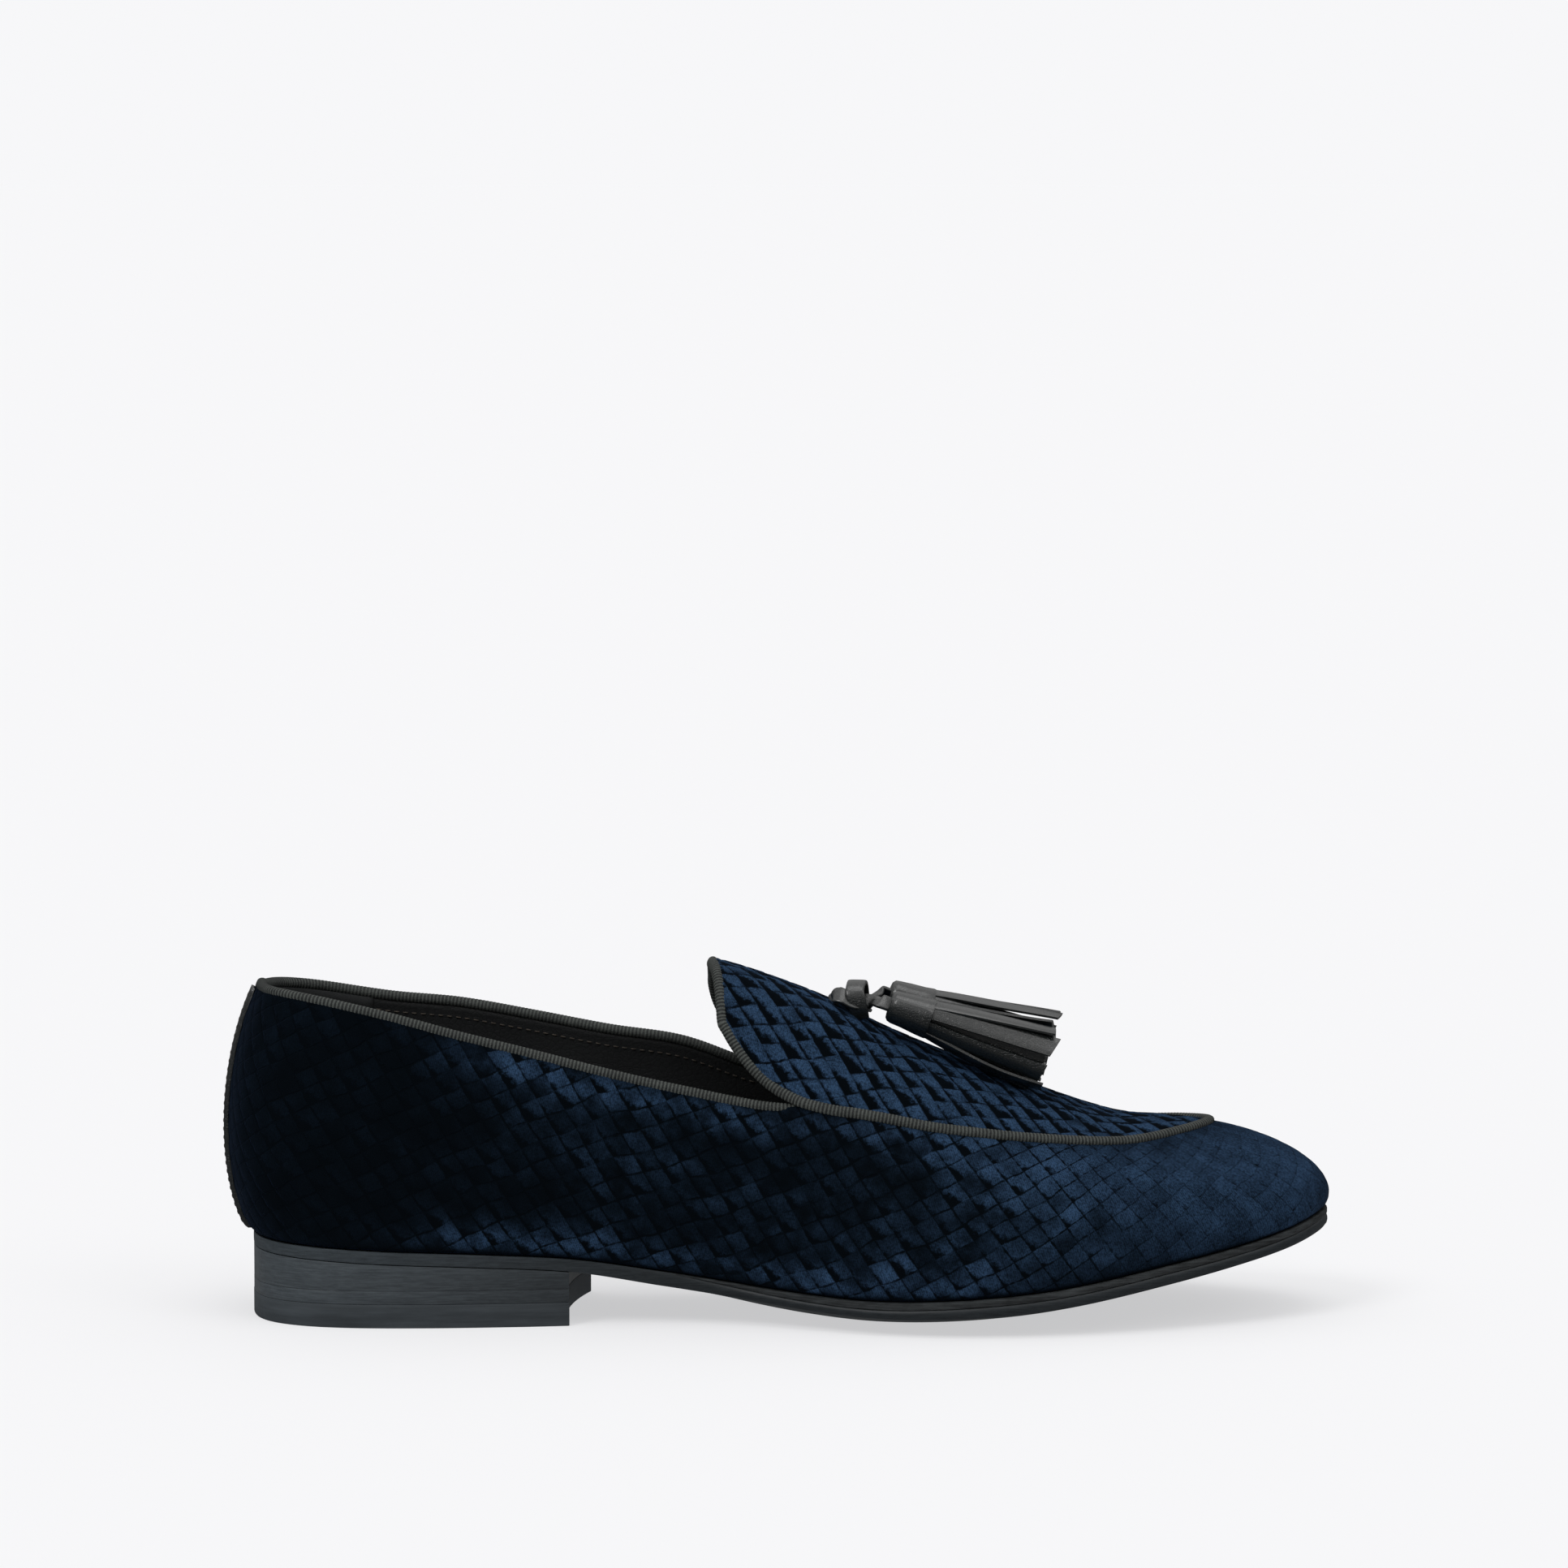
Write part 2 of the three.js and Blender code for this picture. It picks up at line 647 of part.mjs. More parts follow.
// Outsole, heel to toe, with a rebate round the forepart for the welt
function outsoleBody(lowered, raisedBy, margin) {
  const top = (side, s) => raised(onSpoke(side, s, 0), seatZ(onSpoke(side, s, 0).x) + raisedBy);
  const plateau = (drop) => (side, s) => {
    const plan = soleEdge(side, s, weltWidth + gap);
    return raised(plan, seatZ(plan.x) - drop * rebate(side, s) + raisedBy);
  };
  const edgeAt = (inset, z) => (side, s) => {
    const plan = soleEdge(side, s, inset);
    return raised(plan, z(side, s, plan.x));
  };
  const tread = (share) => (side, s) => {
    const plan = onSpoke(side, s, share);
    return raised(plan, treadZ(plan.x, share) - lowered);
  };
  return roundBody([
    top,
    plateau(0),
    plateau(1),
    edgeAt(-margin, (side, s, x) => seatZ(x) - rebate(side, s) + raisedBy),
    edgeAt(-margin, (side, s, x) => treadZ(x, 1) + (margin ? 0 : edgeBevel) - lowered),
    ...[1, 0.84, 0.58, 0.28, 0].map(tread),
  ]);
}

// Welt: a strip between outsole and upper, from waist to waist round the toe
function weltBody() {
  const run = round.filter(({ s }) => s > weltRib + 0.1);
  const outerSide = (side, s) => soleEdge(side, s, 0);
  const innerSide = (side, s) => soleEdge(side, s, weltWidth);
  const at = (plan, drop, side, s) => raised(plan, seatZ(plan.x) - drop * weltAt(feather(side, s).x));
  const section = run.map(({ side, s }) => [
    at(outerSide(side, s), 0, side, s),
    at(innerSide(side, s), 0, side, s),
    at(innerSide(side, s), 1, side, s),
    at(outerSide(side, s), 1, side, s),
  ]);
  const faces = section.slice(1).flatMap((next, i) => strip(section[i], next, true));
  const first = section[0];
  const last = section[section.length - 1];
  faces.push(...quad(first[3], first[2], first[1], first[0]), ...quad(last[0], last[1], last[2], last[3]));
  return geometryOf(faces.map(([a, b, c]) => [a, c, b]));
}

// Insole inside the upper's wall
function insoleBody() {
  const inset = wall + 2 * gap;
  const ring = (extra, lift) => (side, s) => {
    const plan = featherEdge(side, s, -inset - extra);
    return raised(plan, seatZ(plan.x) + gap + lift);
  };
  const middle = (lift) => (side, s) => {
    const top = ridge(s);
    return raised(top, seatZ(top.x) + gap + lift);
  };
  return roundBody([
    middle(insoleThickness),
    ring(insoleRound, insoleThickness),
    ring(0, insoleThickness - insoleRound),
    ring(0, 0),
    middle(0),
  ]);
}

// Heel outline in plan: the sole's edge back of the breast, closed by the hollow breast line
function heelOutline(inset) {
  const sideLine = (side, breast) => {
    const line = [];
    let s = 0;
    while (soleEdge(side, s, inset).x < breast) {
      line.push(soleEdge(side, s, inset));
      s += heelSteps;
    }
    const last = line[line.length - 1];
    const next = soleEdge(side, s, inset);
    const corner = last.clone().lerp(next, (breast - last.x) / (next.x - last.x));
    if (corner.distanceTo(last) < 1) line.pop();
    return [...line, corner];
  };
  const outer = sideLine(-1, breastOuter);
  const inner = sideLine(1, breastOuter + breastSkew);
  const a = outer[outer.length - 1];
  const b = inner[inner.length - 1];
  const breast = Array.from({ length: breastPoints }, (_, k) => {
    const t = (k + 1) / (breastPoints + 1);
    return a.clone().lerp(b, t).sub(new THREE.Vector2(breastHollow * 4 * t * (1 - t), 0));
  });
  return [...outer, ...breast, ...inner.reverse().slice(0, -1)];
}

// A layer of the heel between two heights, clear of the layer below it
function heelPrism(inset, from, to, clear) {
  const shape = new THREE.Shape(heelOutline(inset));
  const prism = new THREE.ExtrudeGeometry(shape, { depth: to - from - clear, bevelEnabled: false });
  return prism.translate(0, 0, from + clear);
}

// Tassel: a cap rolled round the head of a bundle of cut strips, built up its own Y and then laid
// from its head towards its foot
function tasselSolid(side) {
  const { head, foot } = tasselEnds(side);
  const profile = capProfile.map(
    ({ radius, height }) => new THREE.Vector2(radius * tasselCapRadius, height * tasselCapLength),
  );
  let solid = solidOf(new THREE.LatheGeometry(profile, capSides));
  fringeLayers.forEach(({ share, strips, width }) => {
    for (let k = 0; k < strips; k += 1) {
      const turn = ((k + share / 2) / strips) * 2 * Math.PI;
      const cut = fringeLength * (1 - cutSteps * ((k * 7 + strips) % 3));
      solid = solid.add(fringeStrip(share, turn, cut, width));
    }
  });
  const run = foot.clone().sub(head).normalize();
  const across = new THREE.Vector3(0, 1, 0).cross(run).normalize();
  const sideways = across.clone().cross(run);
  const laid = new THREE.Matrix4().makeBasis(across, run, sideways).setPosition(head);
  return solidOf(geometryFrom(solid).applyMatrix4(laid));
}

// One cut strip of a fringe, from inside the cap outwards and down to its cut end
function fringeStrip(share, turn, cut, width) {
  const out = new THREE.Vector3(Math.cos(turn), 0, Math.sin(turn));
  const lie = new THREE.Vector3(-Math.sin(turn), 0, Math.cos(turn));
  const start = tasselCapRadius * 0.9;
  const rings = [0, 0.5, 1].map((t) => {
    const up = THREE.MathUtils.lerp(start, fringeSpread, t ** 0.8) * share;
    const across = THREE.MathUtils.lerp(start, fringeSpread * fringeFlatness, t ** 0.8) * share;
    const down = tasselCapLength - stripTuck + t * cut;
    const middle = new THREE.Vector3(out.x * up, down, out.z * across);
    const wide = (width * (1 - stripTaper * (1 - t))) / 2;
    const thick = stripThickness / 2;
    const corner = (a, b) => middle.clone().addScaledVector(lie, a).addScaledVector(out, b);
    return [corner(-wide, -thick), corner(wide, -thick), corner(wide, thick), corner(-wide, thick)];
  });
  const faces = [...strip(rings[0], rings[1], true), ...strip(rings[1], rings[2], true)];
  faces.push(...quad(rings[0][3], rings[0][2], rings[0][1], rings[0][0]));
  faces.push(...quad(rings[2][0], rings[2][1], rings[2][2], rings[2][3]));
  return solidOf(geometryOf(faces));
}

// Head of a tassel's cap and foot of its fringe. The pair lies over the ridge of the vamp, toe to foot.
function tasselEnds(side) {
  const splay = side < 0 ? -1.0 : 1.05;
  return {
    head: overRidge(tasselStation, splay * tasselApart, tasselHeadLift),
    foot: overRidge(tasselStation + fringeReach, splay * (tasselApart + tasselSplay), tasselFootLift),
  };
}

// Point at a height over the ridge of the vamp
function overRidge(x, y, lift) {
  const s = toeRib * firstWhere((t) => ridge(t * toeRib).x > x);
  return new THREE.Vector3(x, y, ridge(s).z + lift);
}

// Thong tied in a knot on the apron, with an end to the head of each tassel
function thongSolid() {
  const thong = (points, width) => {
    const curve = new THREE.CatmullRomCurve3(points);
    const path = curve.getPoints(thongSteps).map((point) => ({
      point,
      normal: thongNormal,
      wide: thongWidth * width,
      thick: thongThickness,
    }));
    return solidOf(rope(path, false, 0));
  };
  const tied = Object.values(knotThongs).map(({ path, width }) =>
    thong(path.map(([x, y, lift]) => overRidge(knotStation + x, y, lift)), width),
  );
  const ends = [-1, 1].map((side) => {
    const { head, foot } = tasselEnds(side);
    const run = foot.clone().sub(head).normalize();
    const stop = head.clone().addScaledVector(run, -gap);
    const lead = stop.clone().addScaledVector(run, -knotClear);
    const start = overRidge(knotStation, side * 0.5, 4.4);
    const turn = overRidge(knotStation + 4, side * 2.5, 6.2);
    return thong([start, turn, lead, stop], endWidth);
  });
  return [...tied, ...ends].reduce((a, b) => a.add(b));
}

// A solid's faces as a three.js geometry
function geometryFrom(solid) {
  const mesh = solid.getMesh();
  const geometry = new THREE.BufferGeometry();
  const points = new Float32Array(mesh.numVert * 3);
  for (let i = 0; i < mesh.numVert; i += 1) {
    points.set(mesh.vertProperties.subarray(i * mesh.numProp, i * mesh.numProp + 3), i * 3);
  }
  geometry.setAttribute("position", new THREE.BufferAttribute(points, 3));
  geometry.setIndex(new THREE.BufferAttribute(new Uint32Array(mesh.triVerts), 1));
  const closed = welded(geometry, 1e-2);
  closed.computeVertexNormals();
  return closed;
}

// Finishes
const finish = (color, roughness) => ({ color, roughness, metalness: 0 });
const velvet = finish(0x131d3a, 0.95);
const grosgrain = finish(0x2b3233, 0.85);
const soleLeather = finish(0x2b333a, 0.5);
const weltLeather = finish(0x20262a, 0.6);
const rubber = finish(0x232a30, 0.7);
const blackLeather = finish(0x14181a, 0.45);
const lining = finish(0x0c0e10, 0.7);

const shoe = new THREE.Group();
shoe.position.x = -heelBack;

function place(name, solid, look) {
  const mesh = new THREE.Mesh(geometryFrom(solid), new THREE.MeshStandardMaterial(look));
  mesh.name = name;
  shoe.add(mesh);
}

const piping = pipingPath();
const binding = bindingPath();
const pipingSeat = solidOf(rope(piping, true, gap));
const bindingSeat = solidOf(rope(binding, false, gap));
place("upper", mainBody(solidOf(upperShell()).subtract(pipingSeat).subtract(bindingSeat)), velvet);
place("apron_piping", solidOf(rope(piping, true, 0)), grosgrain);
place("collar_binding", solidOf(rope(binding, false, 0)), grosgrain);
place("backstay", solidOf(backstayShell()), blackLeather);
place("insole", solidOf(insoleBody()), lining);
place("outsole", solidOf(outsoleBody(0, 0, 0)), soleLeather);
place("welt", solidOf(weltBody()), weltLeather);
const underSole = solidOf(outsoleBody(gap, 20, 2));
const heelBlock = solidOf(heelPrism(baseInset, heelLiftHeight, instepHeight / 4, gap));
place("heel_base", mainBody(heelBlock.subtract(underSole)), soleLeather);
place("heel_lift", solidOf(heelPrism(liftInset, topLiftHeight, heelLiftHeight, gap)), soleLeather);
place("top_lift", solidOf(heelPrism(0, 0, topLiftHeight, 0)), rubber);
place("tassel_outer", tasselSolid(-1), blackLeather);
place("tassel_inner", tasselSolid(1), blackLeather);
place("tassel_thong", thongSolid(), blackLeather);

const root = new THREE.Group();
root.add(shoe);
export default root;
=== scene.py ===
import math

import bmesh
import bpy
import numpy as np
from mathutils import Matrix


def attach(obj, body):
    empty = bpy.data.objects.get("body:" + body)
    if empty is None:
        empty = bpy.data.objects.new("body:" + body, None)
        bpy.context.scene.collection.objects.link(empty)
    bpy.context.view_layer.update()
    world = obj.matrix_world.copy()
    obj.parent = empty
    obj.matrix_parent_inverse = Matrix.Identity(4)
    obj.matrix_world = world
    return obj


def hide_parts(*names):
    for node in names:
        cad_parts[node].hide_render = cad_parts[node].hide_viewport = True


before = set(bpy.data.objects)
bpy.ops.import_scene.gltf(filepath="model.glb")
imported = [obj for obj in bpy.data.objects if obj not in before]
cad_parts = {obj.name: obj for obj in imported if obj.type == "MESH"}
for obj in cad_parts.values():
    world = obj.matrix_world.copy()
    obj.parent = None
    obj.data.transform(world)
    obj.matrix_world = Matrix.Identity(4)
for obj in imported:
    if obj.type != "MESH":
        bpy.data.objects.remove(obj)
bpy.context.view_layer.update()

# Velvet slipper loafer, right shoe. Metres, +X to the toe, +Y to the inner side, +Z up.
# The last is worked out as in the part: closed ribs round the foot, from the feather line to the ridge.

mm = 0.001
last = dict(length=0.300, ballWidth=0.096, instepHeight=0.095, heelBack=0.045,
            swellPeak=0.82, swellFullness=0.65, tongueRib=7, throatRib=8, toeRib=15)
wall = 2.4 * mm
gap = 0.3 * mm
half = last["ballWidth"] / 2
toeRib = last["toeRib"]

# A row for each rib, heel to toe: X as shares of the length, Y and swell of half the ball, Z of the instep
ribColumns = ("outX", "outY", "inX", "inY", "topX", "topY", "topZ", "swell", "lean")
ribRows = np.array([
    (0.0293, 0.0, 0.0293, 0.0, 0.147, 0.0, 1.095, 0.176, 0.32),
    (0.0393, 0.344, 0.0393, 0.344, 0.1485, 0.0, 1.095, 0.165, 0.31),
    (0.0683, 0.546, 0.0683, 0.546, 0.16, 0.0, 1.09, 0.135, 0.32),
    (0.1167, 0.646, 0.1167, 0.642, 0.187, 0.0, 1.084, 0.083, 0.35),
    (0.19, 0.658, 0.19, 0.633, 0.233, 0.0, 1.074, 0.0625, 0.4),
    (0.27, 0.617, 0.27, 0.579, 0.293, 0.0, 1.058, 0.075, 0.45),
    (0.3533, 0.554, 0.3533, 0.5, 0.36, 0.0, 1.037, 0.108, 0.52),
    (0.4535, 0.57, 0.442, 0.5205, 0.4425, 0.0, 1.0035, 0.128, 0.6),
    (0.5267, 0.729, 0.5333, 0.7, 0.5333, 0.0, 0.907, 0.1, 0.74),
    (0.5933, 0.908, 0.6067, 0.9, 0.6, 0.0, 0.803, 0.071, 0.84),
    (0.6633, 0.9875, 0.6867, 1.004, 0.6667, 0.006, 0.713, 0.0625, 0.92),
    (0.743, 0.958, 0.7667, 0.979, 0.7333, 0.02, 0.632, 0.058, 1.0),
    (0.8267, 0.823, 0.8467, 0.865, 0.7933, 0.042, 0.567, 0.058, 1.06),
    (0.9033, 0.608, 0.9167, 0.681, 0.8333, 0.0625, 0.553, 0.0625, 1.12),
    (0.964, 0.344, 0.971, 0.443, 0.8533, 0.073, 0.547, 0.069, 1.18),
    (0.9945, -0.083, 0.9945, 0.083, 0.86, 0.083, 0.546, 0.071, 1.2),
])
rib = dict(zip(ribColumns, ribRows.T))


# A short table by its column names, as arrays
def table(names, rows):
    return dict(zip(names, np.array(rows).T))


# Seat line and the sole's edge, as shares of the instep height
seat = table(("at", "height", "edge"), [
    (0.027, 0.235, 0.036), (0.147, 0.216, 0.036), (0.233, 0.2055, 0.036), (0.313, 0.1895, 0.036),
    (0.4, 0.1505, 0.041), (0.4833, 0.1135, 0.041), (0.5667, 0.095, 0.044), (0.66, 0.1042, 0.0495),
    (0.75, 0.1315, 0.0525), (0.8467, 0.186, 0.0525), (0.9267, 0.234, 0.05), (0.996, 0.289, 0.052)])
# Crown of the tread and thickness of the welt, as shares of their full size
forepart = table(("at", "crown", "welt"), [
    (0.3, 0.0, 0.0), (0.42, 0.3, 0.25), (0.5, 0.8, 0.8), (0.58, 1.0, 1.0),
    (0.7, 0.95, 1.0), (0.82, 0.55, 1.0), (1.0, 0.12, 1.0)])
# Middle of the collar binding, as shares of the instep height
topline = table(("at", "outer", "inner"), [
    (0.0, 0.945, 0.945), (0.067, 0.934, 0.908), (0.143, 0.887, 0.868), (0.21, 0.83, 0.85),
    (0.28, 0.774, 0.813), (0.347, 0.718, 0.775), (0.413, 0.6715, 0.742), (0.483, 0.6305, 0.66),
    (0.55, 0.61, 0.618)])
apronPlan = dict(tongueHalfWidth=17.5 * mm, outerInset=12.6 * mm, innerInset=14 * mm, broadest=190 * mm,
                 front=267.5 * mm, frontFullness=1.62, tongueCorner=2.0, tongueLean=0.12)
solePlan = dict(weltThickness=1.9 * mm, weltWidth=5.5 * mm, edgeHeel=1.0 * mm, edgeFront=1.6 * mm,
                edgeBevel=0.7 * mm, treadCrown=5.6 * mm, insoleThickness=2.5 * mm)


# Smooth curve through table rows: a cubic in each span, with the mean of the neighbours' slopes at its ends
def lookUp(rows, name, station):
    at, value = rows["at"], rows[name]
    x = station / last["length"]
    rise = np.diff(value) / np.diff(at)
    slope = np.concatenate([rise[:1], (rise[:-1] + rise[1:]) / 2, rise[-1:]])
    i = np.clip(np.searchsorted(at, x) - 1, 0, len(at) - 2)
    span = at[i + 1] - at[i]
    t = np.clip((x - at[i]) / span, 0, 1)
    bow = (1 - t) * slope[i] * span - t * slope[i + 1] * span - (1 - 2 * t) * (value[i + 1] - value[i])
    return value[i] + (value[i + 1] - value[i]) * t + t * (1 - t) * bow


# The closed ring of rib values: up the inner side to the toe and back along the outer one
def ringOf(inner, outer, sign=1):
    return np.concatenate([rib[inner], sign * rib[outer][-2:0:-1]])


# Smooth cubic from the second to the third of four values
def throughFour(a, b, c, d, t):
    bend = 2 * a - 5 * b + 4 * c - d
    twist = 3 * (b - c) + d - a
    return 0.5 * (2 * b + (c - a) * t + bend * t ** 2 + twist * t ** 3)


# Place u round the last: 0 at the heel's back, positive on the inner side, 15 at the toe's tip.
# The value there is a smooth cubic through the four nearest ribs.
def around(ring, u):
    u = np.mod(u, len(ring))
    i = np.floor(u).astype(int)
    t = u - i
    a, b, c, d = (ring[(i + k) % len(ring)] for k in (-1, 0, 1, 2))
    return throughFour(a, b, c, d, t)


footX, footY = ringOf("inX", "outX"), ringOf("inY", "outY", -1)
ridgeX, ridgeY, ridgeHigh = ringOf("topX", "topX"), ringOf("topY", "topY"), ringOf("topZ", "topZ")
swellRing, leanRing = ringOf("swell", "swell"), ringOf("lean", "lean")


def seatZ(station):
    return lookUp(seat, "height", station) * last["instepHeight"]


def foot(u):
    return around(footX, u) * last["length"], around(footY, u) * half


def ridge(u):
    return (around(ridgeX, u) * last["length"], around(ridgeY, u) * half,
            around(ridgeHigh, u) * last["instepHeight"])


# Point of the last in stations: the spoke from ridge to foot times cos of the turn to the power lean, plus
# the swell, which is the sine of the risen share; the height is the sine of the turn
def lastPoint(u, v):
    fx, fy = foot(u)
    tx, ty, tz = ridge(u)
    turn = np.minimum(v, 1) * math.pi / 2
    reach = np.maximum(np.cos(turn), 0) ** around(leanRing, u)
    rise = np.sin(turn)
    sx, sy = fx - tx, fy - ty
    bulge = np.maximum(np.sin(math.pi * rise ** last["swellPeak"]), 0) ** last["swellFullness"]
    k = reach + around(swellRing, u) * half * bulge / np.hypot(sx, sy)
    low = seatZ(fx) + gap
    return np.stack(np.broadcast_arrays(tx + sx * k, ty + sy * k, low + (tz - low) * rise), -1)


def unit(vectors):
    return vectors / np.maximum(np.linalg.norm(vectors, axis=-1, keepdims=True), 1e-12)


# Outward normal: the step up the rib crossed with the step along the last. The ridge takes both sides' mean.
def lastNormal(u, v):
    step = 0.02
    u, v = np.broadcast_arrays(u, v)
    w = np.clip(v, step, 1 - step)

    def side(at):
        alongLast = lastPoint(at + step, w) - lastPoint(at - step, w)
        alongRib = lastPoint(at, w + step) - lastPoint(at, w - step)
        return unit(np.cross(alongRib, alongLast))

    near = 1 - np.clip((1 - v) / 0.03, 0, 1)[..., None]
    return unit(side(u) + near * side(-u))


# Point at a depth under the last. Near the feather edge the way in is level.
def under(u, v, depth):
    normal = lastNormal(u, v)
    level = np.clip(1 - np.broadcast_to(v, normal.shape[:-1]) / 0.02, 0, 1)[..., None]
    flat = unit(normal * np.array([1, 1, 0]))
    return lastPoint(u, v) - unit(normal + (flat - normal) * level) * np.asarray(depth)[..., None]


# Feather line moved out in plan by a distance, as x and y
def featherEdge(u, out):
    step = 0.02
    (ax, ay), (bx, by) = foot(u - step), foot(u + step)
    run = np.hypot(bx - ax, by - ay)
    fx, fy = foot(u)
    return fx - (by - ay) / run * out, fy + (bx - ax) / run * out


# Half width of the apron at a station: a rounded corner at the tongue, then an oval front
def apronHalf(u, x):
    plan = apronPlan
    broad = half - np.where(u < 0, plan["outerInset"], plan["innerInset"])
    tongue = np.where(u < 0, -1.0, 1.0) * last["tongueRib"]
    start = ridge(tongue)[0] * (1 - plan["tongueLean"]) + foot(tongue)[0] * plan["tongueLean"]
    t = np.clip((x - start) / (plan["broadest"] - start), 0, 1)
    c, f = plan["tongueCorner"], plan["frontFullness"]
    back = plan["tongueHalfWidth"] + (broad - plan["tongueHalfWidth"]) * (1 - (1 - t) ** c) ** (1 / c)
    t = np.clip((x - plan["broadest"]) / (plan["front"] - plan["broadest"]), 0, 1)
    return np.where(x < plan["broadest"], back, broad * (1 - t ** f) ** (1 / f))


# Share up each rib at which a test turns true, by halving
def firstWhere(test, like):
    low, high = np.zeros_like(like), np.ones_like(like)
    for _ in range(30):
        middle = (low + high) / 2
        hit = test(middle)
        high, low = np.where(hit, middle, high), np.where(hit, low, middle)
    return (low + high) / 2


def seamShare(u):
    def inside(v):
        p = lastPoint(u, v)
        return (p[..., 0] < apronPlan["front"]) & (np.abs(p[..., 1] - ridge(u)[1]) < apronHalf(u, p[..., 0]))
    return firstWhere(inside, u)


# Share up each rib of the topline, which runs into the apron seam at the throat
def toplineShare(u):
    def free(at):
        def over(v):
            p = lastPoint(at, v)
            high = np.where(at < 0, lookUp(topline, "outer", p[..., 0]), lookUp(topline, "inner", p[..., 0]))
            return p[..., 2] > high * last["instepHeight"]
        return firstWhere(over, at)
    throat = np.where(u < 0, -1.0, 1.0) * last["throatRib"]
    t = np.clip(np.abs(u) - last["tongueRib"], 0, 1)
    return free(u) + (seamShare(throat) - free(throat)) * t ** 4


# Places with the one at the heel's back a hair to the outer side, so that every place has a side
def sided(u):
    return np.where(np.abs(u) < 1e-9, -1e-9, u)


# Places from the heel's back along the outer side to the toe, and back on the inner one
def allRound(count):
    t = np.linspace(0, 2 * toeRib, count + 1)
    return sided(np.where(t <= toeRib, -t, 2 * toeRib - t))


# Upper edge of the quarters: the topline, and in front of the throat the apron's seam
def wallTop(u):
    return np.where(np.abs(u) < last["throatRib"], toplineShare(u), seamShare(u))


# Running length from its steps, with 0 before the first
def summed(steps):
    return np.concatenate([np.zeros_like(steps[..., :1]), np.cumsum(steps, -1)], -1)


# Shares between two shares of each rib, at equal steps along the surface
def evenShares(u, start, stop, count, fine=60):
    t = np.linspace(0, 1, fine + 1)
    v = start[:, None] + (stop - start)[:, None] * t
    step = np.linalg.norm(np.diff(lastPoint(u[:, None], v), axis=1), axis=-1)
    run = summed(step)
    want = run[:, -1:] * np.linspace(0, 1, count + 1)
    i = np.clip((run[:, :, None] < want[:, None, :]).sum(1) - 1, 0, fine - 1)
    a, b = np.take_along_axis(run, i, 1), np.take_along_axis(run, i + 1, 1)
    share = (i + (want - a) / np.maximum(b - a, 1e-12)) / fine
    return start[:, None] + (stop - start)[:, None] * share, run[:, -1]


# Places and shares over the apron, from the outer seam over the ridge to the inner one
def overApron(s, rows):
    outV, _ = evenShares(-s, seamShare(-s), np.ones_like(s), rows)
    inV, _ = evenShares(s, seamShare(s), np.ones_like(s), rows)
    u = np.concatenate([np.repeat(-s[:, None], rows + 1, 1), np.repeat(s[:, None], rows, 1)], 1)
    return u, np.concatenate([outV, inV[:, ::-1][:, 1:]], 1)


# Soft step from 0 to 1 between two values
def eased(value, low, high):
    t = np.clip((value - low) / (high - low), 0, 1)
    return t * t * (3 - 2 * t)


# From stations to the shoe's frame
def placed(points):
    return points - np.array([last["heelBack"], 0, 0])


# A mesh piece from a grid of points, closed in rows or columns where asked. uvs has one more row and
# column than the points where they close. The faces are turned out by the sign of the volume.
def gridPiece(name, points, closedRows=False, closedCols=False, uvs=None, attributes=(), caps=()):
    rows, cols = points.shape[:2]
    r = np.arange(rows if closedRows else rows - 1)[:, None]
    c = np.arange(cols if closedCols else cols - 1)[None, :]
    corner = [(r, c), (r, c + 1), (r + 1, c + 1), (r + 1, c)]
    quads = np.stack([(a % rows) * cols + (b % cols) for a, b in corner], -1).reshape(-1, 4)
    flat = points.reshape(-1, 3)
    tri = np.concatenate([quads[:, [0, 1, 2]], quads[:, [0, 2, 3]]])
    volume = np.einsum("ij,ij->", flat[tri[:, 0]], np.cross(flat[tri[:, 1]], flat[tri[:, 2]]))
    way = -1 if volume < 0 else 1
    mesh = bpy.data.meshes.new(name)
    mesh.from_pydata(flat.tolist(), [], quads[:, ::way].tolist() + [list(ring)[::way] for ring in caps])
    if uvs is not None:
        layer = mesh.uv_layers.new(name="cloth")
        wide = uvs.shape[1]
        loops = np.stack([a * wide + b for a, b in corner], -1).reshape(-1, 4)[:, ::way]
        coords = np.zeros((len(mesh.loops), 2))
        coords[: loops.size] = uvs.reshape(-1, 2)[loops.ravel()]
        layer.data.foreach_set("uv", coords.ravel())
    for label, values in attributes:
        layer = mesh.attributes.new(label, "FLOAT", "POINT")
        layer.data.foreach_set("value", values.ravel().astype(np.float32))
    mesh.polygons.foreach_set("use_smooth", np.ones(len(mesh.polygons), bool))
    mesh.update()
    # points that fall together, at poles and folds, become one
    form = bmesh.new()
    form.from_mesh(mesh)
    bmesh.ops.remove_doubles(form, verts=form.verts, dist=2e-6)
    form.to_mesh(mesh)
    form.free()
    piece = bpy.data.objects.new(name, mesh)
    bpy.context.scene.collection.objects.link(piece)
    return piece


# Several pieces joined into the first one
def joined(pieces, name):
    with bpy.context.temp_override(active_object=pieces[0], selected_editable_objects=pieces):
        bpy.ops.object.join()
    pieces[0].name = name
    pieces[0].data.name = name
    return pieces[0]


# Point rings of the first and the last row of a grid, turned out, as its caps
def endCaps(rows, count):
    return range(count - 1, -1, -1), range((rows - 1) * count, rows * count)


# A sheet of the last between two depths, out along the first and back along the second, with caps on as many
# of its ends as asked
def sheet(name, u, v, front, back, ends=2, closed=False):
    u = np.broadcast_to(u, v.shape)
    faces = [under(u, v, front), under(u[:, ::-1], v[:, ::-1], back)]
    points = placed(np.concatenate(faces, 1))
    return gridPiece(name, points, closed, True, caps=endCaps(*points.shape[:2])[:ends])


